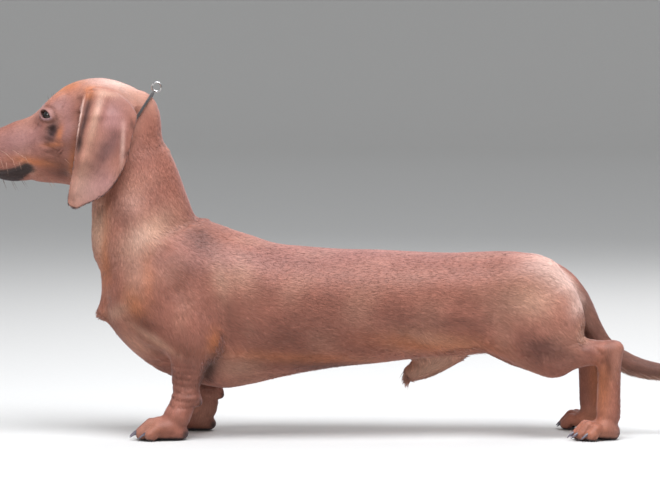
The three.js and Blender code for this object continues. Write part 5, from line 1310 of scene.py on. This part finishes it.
def paintAt(points, normals, onEar):
    x, y, z = points.T
    wide = np.abs(y)
    colours = np.tile(colourOf("base"), (len(points), 1))
    cloud = slowNoise(points, 46, 3)
    lay(colours, "deep", 0.16 * np.maximum(cloud, 0))
    lay(colours, "sand", 0.14 * np.maximum(-cloud, 0))
    body = ~onEar
    for name, *oval, strength, inner, outer in patches:
        amount = strength * softSpot(x, z, *oval) * smoothStep(inner - 5, inner + 5, wide)
        lay(colours, name, amount * smoothStep(outer + 4, outer - 4, wide) * body)
    for name, *oval, strength in earPatches:
        lay(colours, name, strength * softSpot(x, z, *oval) * onEar * (normals[:, 1] * y > 0))
    lay(colours, "deep", 0.35 * onEar * (normals[:, 1] * y < 0))
    tail = smoothStep(206, 222, x) * smoothStep(20, 14, wide) * smoothStep(20, 40, z)
    lay(colours, "deep", tail * (0.3 + 0.25 * smoothStep(0.1, 0.8, normals[:, 2])))
    lay(colours, "grey", 0.4 * tail)
    lay(colours, "dark", tail * 0.5 * smoothStep(268, 330, x))
    lay(colours, "sand", tail * 0.4 * smoothStep(-0.2, -0.9, normals[:, 2]))
    # black of the lips, the chin and the end of the muzzle
    level = np.interp(x, mouthX, mouthZ)
    front = smoothStep(-333, -342, x) * smoothStep(300, 290, z)
    under = 257 + 13.5 * smoothStep(-362, -336, x)
    lip = front * smoothStep(level + 1.2, level - 0.6, z) * smoothStep(under - 2.2, under + 2.2, z)
    chin = smoothStep(-352, -366, x) * smoothStep(level + 1, level - 1, z)
    edge = front * bump(z - level, 0, 1.5)
    lay(colours, "black", np.maximum(np.maximum(0.93 * lip, 0.88 * chin), 0.85 * edge) * body)
    tip = smoothStep(-377, -383, x + 0.35 * (298 - z)) * smoothStep(284, 290, z)
    lay(colours, "black", 0.9 * tip * body)
    # rims of the lids: bare skin with a painted bluish wet highlight, strongest on the lower lid, painted
    # shade in the fold round them, and black at the edge
    for side in (-1, 1):
        edge, out = lidOpening(eyeFrames[side], x, y, z)
        near = (out > 2) & (out < 16) & (y * side > 0)
        lay(colours, "rim", (0.3 + 0.35 * smoothStep(329, 322, z)) * bump(edge, 1.1, 0.9) * near)
        lay(colours, "deep", 0.4 * bump(edge, 3.4, 1.5) * near)
        lay(colours, "black", 0.9 * smoothStep(0.4, -0.4, edge) * near)
    foreStep, hindStep = bySide(stance["foreStep"], y), bySide(stance["hindFootStep"], y)
    stop = np.hypot(x + 166 - 0.8 * foreStep, z - 38)
    lay(colours, "black", 0.7 * smoothStep(5.5, 2.5, stop) * body)
    # pads under the feet
    pad = smoothStep(5, 2.2, z) * smoothStep(-0.35, -0.8, normals[:, 2])
    heel = smoothStep(15, 8, z) * np.maximum(smoothStep(-189, -183, x - foreStep) * (x < 0),
                                             smoothStep(251, 256, x - hindStep) * (x > 0))
    lay(colours, "black", np.maximum(pad, 0.85 * heel))
    return colours * (1 + 0.05 * slowNoise(points, 9, 5))[:, None]


# The lie of the coat: ways it points, in side view, each with the reach it holds for

lie = [
    (-388, 296, 20, 1, 0.3), (-360, 312, 22, 1, 0.12), (-352, 284, 22, 1, -0.1), (-322, 344, 20, 0.9, 0.5),
    (-310, 300, 20, 1, -0.3), (-305, 268, 20, 1, -0.15), (-285, 362, 24, 1, 0), (-256, 356, 20, 0.9, -0.45),
    (-285, 300, 22, 0.9, -0.5), (-234, 320, 26, 0.35, -1), (-226, 280, 28, 0.3, -1),
    (-214, 240, 28, 0.4, -1), (-262, 252, 22, 0.35, -1), (-262, 205, 24, 0.05, -1),
    (-264, 165, 20, 0.12, -1), (-240, 200, 24, 0.35, -1), (-256, 124, 18, 0.5, -0.85),
    (-222, 92, 24, 0.85, -0.5), (-225, 160, 26, 0.45, -0.9), (-200, 206, 24, 0.8, -0.6),
    (-188, 180, 28, 0.75, -0.65), (-180, 138, 26, 0.5, -0.85), (-180, 104, 22, 0.2, -1),
    (-165, 60, 20, 0.15, -1), (-186, 62, 20, 0.05, -1), (-190, 34, 14, -0.1, -1), (-218, 16, 16, -1, -0.35),
    (-150, 200, 26, 1, -0.35), (-128, 170, 30, 1, -0.45), (-132, 110, 24, 0.85, -0.55),
    (-110, 66, 26, 1, -0.15), (-70, 180, 38, 1, -0.15), (-70, 110, 36, 1, -0.32), (0, 175, 44, 1, -0.08),
    (0, 110, 40, 1, -0.22), (-20, 76, 30, 1, -0.12), (70, 170, 44, 1, -0.08), (70, 128, 30, 1, -0.25),
    (62, 98, 22, 0.5, -0.85), (140, 176, 34, 1, -0.15), (135, 130, 28, 0.9, -0.35),
    (120, 98, 22, 0.8, -0.6), (190, 168, 22, 0.85, -0.6), (175, 130, 26, 0.7, -0.65),
    (165, 95, 22, 0.7, -0.7), (212, 128, 18, 0.45, -0.9), (200, 94, 18, 0.9, -0.4),
    (240, 88, 16, 0.35, -0.95), (246, 55, 20, 0.03, -1), (228, 40, 18, 0.03, -1), (240, 24, 12, -0.35, -1),
    (216, 10, 14, -1, -0.3), (75, 68, 16, -1, -0.3), (48, 58, 12, -0.8, -0.7),
]


def lieAt(points, normals, onEar):
    x, y, z = points.T
    away = np.zeros((len(points), 3))
    for px, pz, reach, wayX, wayZ in lie:
        weight = np.exp(-((x - px) ** 2 + (z - pz) ** 2) / reach**2) + 1e-9
        length = math.hypot(wayX, wayZ)
        away[:, 0] += weight * wayX / length
        away[:, 2] += weight * wayZ / length
    # along the tail, and down the ears
    tail = (x > 206) & (np.abs(y) < 16) & (z > 40) & (z - 150 > -1.9 * (x - 204))
    tailX, tailZ = np.array(tailAxis)[:, [0, 2]].T
    away[tail] = (1, 0, 0)
    away[tail, 2] = np.interp(x[tail], tailX, np.gradient(tailZ, tailX))
    away[onEar] = (-0.22, 0, -1)
    away += 1e-4
    turn = 0.16 * slowNoise(points, 34, 11) + 0.1 * slowNoise(points, 11, 12)
    return unitRows(squareTo(turned(away, normals, turn), normals), 1e-6)


def isEar(points):
    x, y, z = points.T
    found = np.zeros(len(points), bool)
    near = np.nonzero((x > -320) & (x < -224) & (z > 226) & (z < 358) & (np.abs(y) > 20))[0]
    found[near] = earField(x[near], y[near], z[near], 0) < 0.9
    return found


skinNormals = unitRows(gradient(skinField, skinPoints, 0.3))
skinEar = isEar(skinPoints)
skinLie = lieAt(skinPoints, skinNormals, skinEar)
dogSkin.data.normals_split_custom_set_from_vertices(skinNormals)
storeColours(dogSkin, "paint", paintAt(skinPoints, skinNormals, skinEar))
storeValues(dogSkin, "hanging", skinLie[:, 2] ** 2)
print("markings and lie of the coat set")


# The coat: flat tapering tufts that overlap and lie along the body

# part: how many tufts on a square centimetre, their length and width, and how high the tips stand
coat = {"seed": 21, "sink": 0.4, "paleTip": 0.16, "vary": 0.13, "mostVary": 0.35, "patch": 0.003,
        "waver": 0.11, "ridgeAt": 0.45, "ridgeRise": 0.62, "ridgeHeight": (0.16, 1.1), "lift": (-1.5, 2.5),
        "lengths": (0.75, 1.2), "widths": (0.75, 1.25), "tipHeights": (0.55, 1.15), "floor": 0.05,
        "head": (135, 3.0, 0.62, 0.34), "ears": (95, 3.6, 0.72, 0.3), "neck": (66, 7.0, 1.0, 0.75),
        "trunk": (58, 7.4, 1.1, 0.8), "legs": (78, 4.6, 0.85, 0.55), "feet": (120, 2.8, 0.6, 0.35),
        "tail": (80, 7.5, 0.9, 0.8)}


def regionOf(points, onEar):
    x, y, z = points.T
    region = np.full(len(points), "trunk")
    region[(x < -150) & (z > 60)] = "neck"
    leg = (np.abs(y) > 24) & (((x < -128) & (z < 92)) | ((x > 172) & (z < 100)))
    region[leg] = "legs"
    region[leg & (z < 30)] = "feet"
    region[(x > 206) & (np.abs(y) < 17) & (z > 40)] = "tail"
    region[((x + 236) * 0.869 < (z - 297) * 0.494) & (z > 240)] = "head"
    region[onEar] = "ears"
    return region


def bareOf(points, normals):
    # 1 where no tuft grows: lids, nose, mouth, pads and the soles
    x, y, z = points.T
    bare = smoothStep(-379, -382, x + 0.35 * (298 - z)) * smoothStep(285, 288, z)
    level = np.interp(x, mouthX, mouthZ)
    bare = np.maximum(bare, (x < -336) * (z < 300) * bump(z - level, -0.4, 1.7))
    for side in (-1, 1):
        edge, out = lidOpening(eyeFrames[side], x, y, z)
        bare = np.maximum(bare, smoothStep(2.4, 1.4, edge) * (out > 2) * (out < 16) * (y * side > 0))
    return np.maximum(bare, smoothStep(2.6, 1.2, z))


triangleMiddle = skinPoints[skinTriangles].mean(1)
cornerA, cornerB, cornerC = (skinPoints[skinTriangles[:, c]] for c in range(3))
triangleArea = 0.5 * np.linalg.norm(np.cross(cornerB - cornerA, cornerC - cornerA), axis=1)
triangleNormal = skinNormals[skinTriangles].mean(1)
triangleRegion = regionOf(triangleMiddle, isEar(triangleMiddle))
triangleBare = bareOf(triangleMiddle, triangleNormal)


def onSkin(triangles, shares):
    # places on triangles of the skin and the way it faces there
    corners = skinTriangles[triangles]
    return ((skinPoints[corners] * shares[:, :, None]).sum(1),
            unitRows((skinNormals[corners] * shares[:, :, None]).sum(1)))


def sowRoots(chosen, perSquareCm, draw):
    count = draw.poisson(triangleArea[chosen] / 100 * perSquareCm * (1 - triangleBare[chosen]))
    index = np.repeat(chosen, count)
    a, b = draw.random(len(index)), draw.random(len(index))
    flip = a + b > 1
    a[flip], b[flip] = 1 - a[flip], 1 - b[flip]
    return onSkin(index, np.stack([1 - a - b, a, b], 1))


# The coat laid out flat, from 0 to 1 both ways

def turnShare(up, side):
    return np.arctan2(up, side) / (2 * math.pi) + 0.5


def unwrapTrunk(points):
    x, y, z = points.T
    return np.stack([(x + 290) / 560, np.arctan2(z - 130, np.abs(y)) / math.pi + 0.5], 1)


def unwrapHead(points):
    x, y, z = points.T
    return np.stack([turnShare(z - 300, y), (x + 402) / 187], 1)


def unwrapNeck(points):
    x, y, z = points.T
    return np.stack([turnShare(y, x + 225), (z - 40) / 320], 1)


def unwrapEars(points):
    # each ear is laid out flat twice, its outer face and its inner face
    x, y, z = points.T
    column = (y > 0) * 0.5 + (np.abs(y) > earSheet(x, z)[0]) * 0.25
    return np.stack([column + (x + 308) / 84 * 0.24, (z - 226) / 136], 1)


def unwrapLegs(points):
    # four legs side by side, each unrolled round its own middle
    x, y, z = points.T
    front = x < 0
    turn = turnShare(np.abs(y) - 44, x - np.where(front, bySide((-185, -173), y), bySide((238, 224), y)))
    return np.stack([0.25 * (2 * front + (y > 0)) + turn * 0.245, z / 112], 1)


def unwrapTail(points):
    x, y, z = points.T
    level = np.interp(x, [row[0] for row in tailAxis], [row[2] for row in tailAxis])
    return np.stack([turnShare(z - level, y), (x - 200) / 200], 1)


def hairPiece(name, unwrap, roots, points, corners, colours, shades, hanging, layout, material):
    # points has the same number of places for each hair, joined by the same corners
    each = points.shape[1]
    faces = (np.arange(len(points))[:, None, None] * each + corners).reshape(-1, 3)
    piece = meshObject(name, points.reshape(-1, 3), faces, material)
    storeColours(piece, "paint", (colours[:, None] * np.array(shades)[None, :, None]).reshape(-1, 3))
    storeValues(piece, "hanging", np.repeat(hanging, each))
    spots = np.clip(unwrap(roots), 0.002, 0.996)[:, None] + np.array(layout) * coat["patch"]
    layer = piece.data.uv_layers.new(name="OFBake")
    layer.data.foreach_set("uv", spots[:, corners.ravel()].astype(np.float32).ravel())
    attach(piece, "root")
    return piece


def growTufts(name, unwrap, roots, normals, form, draw, material):
    # form: length, width and height of the tips, one value for each root
    length, width, rise = form
    count = len(roots)
    onEar = isEar(roots)
    ways = turned(lieAt(roots, normals, onEar), normals, draw.normal(0, coat["waver"], count))
    side = np.cross(normals, ways)
    length = length * draw.uniform(*coat["lengths"], count)
    half = side * (width * draw.uniform(*coat["widths"], count) / 2)[:, None]
    start = roots - normals * coat["sink"]
    # the ridge and the tip stand over the skin where they come to lie
    ridge = roots + ways * (coat["ridgeAt"] * length)[:, None]
    height = coat["ridgeRise"] * rise
    ridge += normals * np.clip(height - evaluate(skinField, *ridge.T), *coat["lift"])[:, None]
    onward = unitRows(ridge - (roots + normals * height[:, None]))
    bent = unitRows(squareTo(normals, onward))
    tips = ridge + onward * ((1 - coat["ridgeAt"]) * length)[:, None]
    stand = rise * draw.uniform(*coat["tipHeights"], count) - evaluate(skinField, *tips.T)
    tips += bent * np.clip(stand, *coat["lift"])[:, None]
    tips[:, 2] = np.maximum(tips[:, 2], coat["floor"])
    # the ridge stays above the line from root to tip
    laid = unitRows(tips - roots)
    up = unitRows(squareTo(normals, laid))
    above = ((ridge - start - (tips - start) * coat["ridgeAt"]) * up).sum(1)
    ridge += up * (np.clip(above, *coat["ridgeHeight"]) - above)[:, None]
    points = np.stack([start - half, start + half, ridge, tips], 1)
    corners = np.array([(0, 2, 1), (0, 3, 2), (1, 2, 3), (0, 1, 3)])
    change = np.clip(draw.normal(0, coat["vary"], count), -coat["mostVary"], coat["mostVary"])
    piece = hairPiece(name, unwrap, roots, points, corners,
                      paintAt(roots, normals, onEar) * (1 + change)[:, None],
                      (1 - coat["paleTip"], 1 - coat["paleTip"], 1.0, 1 + coat["paleTip"]), ways[:, 2] ** 2,
                      [(-0.5, -0.5), (0.5, -0.5), (0, 0.1), (0, 0.5)], material)
    shading = np.stack([up - 0.3 * side, up + 0.3 * side, up, up + 0.1 * laid], 1).reshape(-1, 3)
    piece.data.normals_split_custom_set_from_vertices(unitRows(shading))


def growCoat(material):
    draw = np.random.default_rng(coat["seed"])
    left = triangleMiddle[:, 1] < 0
    either = np.full(len(left), True)
    plans = [
        ("headCoatLeft", unwrapHead, left, ["head"]), ("headCoatRight", unwrapHead, ~left, ["head"]),
        ("earCoat", unwrapEars, either, ["ears"]), ("neckCoat", unwrapNeck, either, ["neck"]),
        ("trunkCoatLeft", unwrapTrunk, left, ["trunk"]), ("trunkCoatRight", unwrapTrunk, ~left, ["trunk"]),
        ("legCoat", unwrapLegs, either, ["legs", "feet"]), ("tailCoat", unwrapTail, either, ["tail"]),
    ]
    total = 0
    for name, unwrap, wanted, regions in plans:
        sown = []
        for region in regions:
            chosen = np.nonzero(wanted & (triangleRegion == region))[0]
            roots, normals = sowRoots(chosen, coat[region][0], draw)
            sown.append((roots, normals, np.tile(coat[region][1:], (len(roots), 1))))
        roots, normals, forms = (np.concatenate(found) for found in zip(*sown))
        growTufts(name, unwrap, roots, normals, forms.T, draw, material)
        total += len(roots)
        print("  " + name, len(roots))
    print("coat grown:", total, "tufts,", 4 * total, "triangles")


growCoat(makeCoatMaterial("redCoatTufts", 0.0001))


# Longer hair where the outline of the dog shows it, and the whiskers

# side-view middle, reach along and across, tilt, nearest and farthest from the mid-plane, the way the
# skin faces there, hairs, length, width, how far the tips stand off (0 leaves them free), and their way
fringes = {
    "trunkFringe": (unwrapTrunk, [
        (66, 98, 62, 9, -4, 0, 30, (0, -1), 620, 9.0, 1.3, 1.9, (0.9, -0.5)),
        (-60, 62, 70, 9, -4, 0, 26, (0, -1), 520, 8.0, 1.3, 1.5, (1, -0.12)),
        (-272, 128, 12, 16, 30, 0, 22, (-1, -0.3), 220, 7.0, 1.2, 1.4, (0.35, -0.95)),
        (-275, 124, 4, 4, 0, 0, 10, (-1, 0), 60, 3.5, 0.9, 0, (-0.8, -0.5)),
        (34, 58, 6, 9, 0, 0, 12, (-0.8, -0.3), 130, 11.0, 1.1, 0, (-0.3, -1.0)),
        (72, 64, 26, 7, 10, 0, 14, (0, -1), 160, 7.0, 1.1, 1.5, (-0.9, -0.4)),
        (226, 112, 9, 24, -10, 18, 60, (1, 0), 380, 8.0, 1.2, 1.9, (0.3, -0.95)),
        (-150, 100, 10, 14, 0, 20, 70, (0.8, -0.3), 200, 7.0, 1.1, 1.7, (0.3, -0.95)),
    ]),
    "legFringe": (unwrapLegs, [
        (-160, 74, 9, 26, 0, 26, 80, (1, 0), 260, 6.0, 1.0, 1.3, (0.2, -1)),
        (-135, 74, 9, 26, 0, 26, 80, (1, 0), 260, 6.0, 1.0, 1.3, (0.2, -1)),
        (246, 60, 10, 30, 0, 24, 70, (1, 0), 320, 5.5, 0.9, 1.0, (0.05, -1)),
    ]),
    "neckFringe": (unwrapNeck, [
        (-274, 200, 9, 46, 0, 0, 26, (-1, 0), 420, 6.5, 1.0, 1.1, (0.1, -1)),
    ]),
    "tailFringe": (unwrapTail, [
        (300, 58, 110, 30, -8, 0, 20, (0, -1), 760, 11.0, 1.3, 2.4, (1, -0.45)),
    ]),
}
fringeForm = {"waver": 0.13, "sink": 0.5, "lengths": (0.6, 1.15), "lifts": (0.5, 1.2), "widths": (0.7, 1.25),
              "shades": (0.86, 1.14), "thick": 0.3, "floor": 0.4}
whiskerForm = {"width": 0.28, "thick": 1.7, "waver": 0.05, "lengths": (0.9, 1.1), "droop": (0.12, 0, -0.16)}
whiskerRoots = {
    # x, z, way: backward, outward, down; length; one on each side
    "lip": [(-378, 288, 0.5, 0.7, -0.35, 11), (-373, 292, 0.6, 0.7, -0.2, 14),
            (-372, 284, 0.3, 0.5, -0.85, 12), (-367, 289, 0.6, 0.7, -0.35, 15),
            (-366, 281, 0.2, 0.4, -0.9, 13), (-361, 293, 0.65, 0.7, -0.2, 15),
            (-360, 285, 0.3, 0.5, -0.85, 14), (-354, 289, 0.6, 0.7, -0.4, 13),
            (-353, 282, 0.2, 0.4, -0.9, 11), (-347, 286, 0.5, 0.6, -0.6, 10)],
    "chin": [(-371, 262, 0.3, 0.35, -0.9, 11), (-362, 261, 0.4, 0.35, -0.9, 12),
             (-352, 262, 0.5, 0.4, -0.8, 10)],
    "brow": [(-322, 342, -0.2, 0.6, 0.7, 12), (-318, 343, 0, 0.6, 0.75, 14), (-314, 341, 0.3, 0.6, 0.7, 12)],
    "cheek": [(-324, 261, 0.5, 0.5, -0.8, 12), (-322, 263, 0.6, 0.55, -0.6, 10),
              (-306, 284, 0.6, 0.75, -0.4, 11)],
}


def bladePiece(name, unwrap, roots, paths, ups, widths, thick, colours, material):
    # three-sided blades along paths of four places, tapering to a point
    ahead = unitRows(np.gradient(paths, axis=1))
    side = unitRows(np.cross(ups[:, None], ahead))
    above = np.cross(ahead, side)
    points = []
    for i, taper in enumerate((0.85, 1.0, 0.62)):
        half = (widths * taper / 2)[:, None]
        points += [paths[:, i] - side[:, i] * half, paths[:, i] + side[:, i] * half,
                   paths[:, i] + above[:, i] * half * thick]
    points.append(paths[:, 3])
    corners = [(0, 2, 1)]
    for i in (0, 3):
        for a, b in ((0, 1), (1, 2), (2, 0)):
            corners += [(i + a, i + b, i + b + 3), (i + a, i + b + 3, i + a + 3)]
    corners += [(6, 7, 9), (7, 8, 9), (8, 6, 9)]
    layout = [(-0.5, -0.5), (0.5, -0.5), (0, -0.5), (-0.5, -0.2), (0.5, -0.2), (0, -0.2),
              (-0.3, 0.2), (0.3, 0.2), (0, 0.2), (0, 0.5)]
    hairPiece(name, unwrap, roots, np.stack(points, 1), np.array(corners), colours,
              [0.86] * 3 + [0.98] * 3 + [1.08] * 3 + [1.16], ahead[:, 1, 2] ** 2, layout, material)


def growFringes(material):
    draw = np.random.default_rng(coat["seed"] + 7)
    x, y, z = triangleMiddle.T
    wide = np.abs(y)
    for name, (unwrap, rows) in fringes.items():
        grown = []
        for px, pz, along, across, tilt, inner, outer, facing, count, length, width, lift, way in rows:
            toward = triangleNormal[:, 0] * facing[0] + triangleNormal[:, 2] * facing[1]
            weight = (softSpot(x, z, px, pz, along, across, tilt) * smoothStep(0.35, 0.85, toward)
                      * smoothStep(inner - 4, inner + 2, wide) * smoothStep(outer + 4, outer - 2, wide)
                      * triangleArea * (1 - triangleBare) * (triangleRegion != "ears"))
            chosen = draw.choice(len(weight), count, p=weight / weight.sum())
            roots, normals = onSkin(chosen, draw.dirichlet((1, 1, 1), count))
            ways = np.tile((way[0], 0, way[1]), (count, 1)) + draw.normal(0, fringeForm["waver"], (count, 3))
            ways = unitRows(squareTo(ways, normals) if lift > 0 else ways)
            long = (length * draw.uniform(*fringeForm["lengths"], count))[:, None]
            off = lift * draw.uniform(*fringeForm["lifts"], count)
            path = [roots - normals * fringeForm["sink"]]
            for share in (0.36, 0.7, 1.0):
                spot = roots + ways * long * share
                stand = off * share**1.4 + 0.1 - evaluate(skinField, *spot.T)
                spot += normals * np.clip(stand, -2 if lift > 0 else 0, 3)[:, None]
                spot[:, 2] = np.maximum(spot[:, 2], fringeForm["floor"])
                path.append(spot)
            widths = width * draw.uniform(*fringeForm["widths"], count)
            shades = draw.uniform(*fringeForm["shades"], count)[:, None]
            colours = paintAt(roots, normals, np.full(count, False)) * shades
            grown.append((roots, np.stack(path, 1), normals, widths, colours))
        roots, paths, normals, widths, colours = (np.concatenate(found) for found in zip(*grown))
        bladePiece(name, unwrap, roots, paths, normals, widths, fringeForm["thick"], colours, material)
        print("  " + name, len(roots))


def addWhiskers(material):
    draw = np.random.default_rng(coat["seed"] + 8)
    roots, paths, colours = [], [], []
    for place, rows in whiskerRoots.items():
        for x, z, back, out, down, length in rows:
            for side in (-1, 1):
                column = np.arange(2, 60, 0.25)
                inside = skinField(x + 0 * column, side * column, z + 0 * column) < 0
                y = column[inside].max() if inside.any() else 4.0
                way = np.array([back, side * out, down]) + draw.normal(0, whiskerForm["waver"], 3)
                way /= np.linalg.norm(way)
                root = np.array([x, side * y, z])
                length = length * draw.uniform(*whiskerForm["lengths"])
                path = [root - np.array([0, side, 0]) * 0.8 - way * 0.4]
                for share in (0.34, 0.68, 1.0):
                    droop = np.array(whiskerForm["droop"]) * length * share**2
                    path.append(root + way * length * share + droop)
                roots.append(root)
                paths.append(path)
                colours.append(colourOf("sand" if place in ("lip", "cheek") else "deep"))
    count = len(roots)
    ups = np.tile((0.1, 0.05, 1.0), (count, 1))
    bladePiece("whiskers", unwrapHead, np.array(roots), np.array(paths), ups,
               np.full(count, whiskerForm["width"]), whiskerForm["thick"], np.array(colours), material)
    print("  whiskers", count)


growFringes(bpy.data.materials["redCoatTufts"])
addWhiskers(bpy.data.materials["redCoatTufts"])


# Floor and light

studio = {"floorRadius": 9.0, "wallHeight": 3.0, "curve": 2.0, "sky": 0.5,
          "keyPower": 72, "fillPower": 14, "backPower": 26}


def addFloor():
    # a wide round floor that curves up into a pale wall all round, far outside the lights
    material, tree, shader = newMaterial("paleFloor", {"Roughness": 0.75, "Specular IOR Level": 0.2})
    shade, _ = placeFineGrain(tree, 220, 0.03)
    colourFrom(tree, shader, flatColour(tree, 216, 214, 210), shade)
    radius, curve = studio["floorRadius"], studio["curve"]
    turns = [i / 8 * math.pi / 2 for i in range(9)]
    rows = [(0.5, 0), (1.5, 0), (4, 0)]
    rows += [(radius + curve * math.sin(turn), curve * (1 - math.cos(turn))) for turn in turns]
    rows.append((rows[-1][0], studio["wallHeight"]))
    sides = 72
    points = [(r * math.cos(2 * math.pi * j / sides), r * math.sin(2 * math.pi * j / sides), z)
              for r, z in rows for j in range(sides)]
    faces = ringFaces(len(rows), sides)
    faces += [(j + 2, j + 1, j, 0) for j in range(1, sides - 2, 2)]
    floor = meshObject("paleFloor", np.array(points) * 1000, faces, material)


def addLight(name, place, aim, size, power, colour):
    data = bpy.data.lights.new(name, "AREA")
    data.shape = "DISK"
    data.size, data.energy, data.color = size, power, colour
    light = bpy.data.objects.new(name, data)
    light.location = place
    light.rotation_euler = (Vector(aim) - Vector(place)).to_track_quat("-Z", "Y").to_euler()
    bpy.context.scene.collection.objects.link(light)


addFloor()
addLight("topLight", (0.1, -0.9, 2.1), (0, 0, 0.15), 1.7, studio["keyPower"], (0.9, 0.94, 1.0))
addLight("frontLight", (-2.3, -1.9, 1.3), (0, 0, 0.2), 1.0, studio["fillPower"], (1.0, 0.98, 0.96))
addLight("backLight", (0.8, 1.8, 1.9), (0, 0, 0.2), 1.6, studio["backPower"], (0.95, 0.96, 1.0))
world = bpy.data.worlds.new("studio")
bpy.context.scene.world = world
world.use_nodes = True
sky = world.node_tree.nodes["Background"]
sky.inputs["Color"].default_value = (0.92, 0.95, 1.0, 1)
sky.inputs["Strength"].default_value = studio["sky"]
bpy.context.scene.view_settings.view_transform = "Standard"

print("stage and lights set")
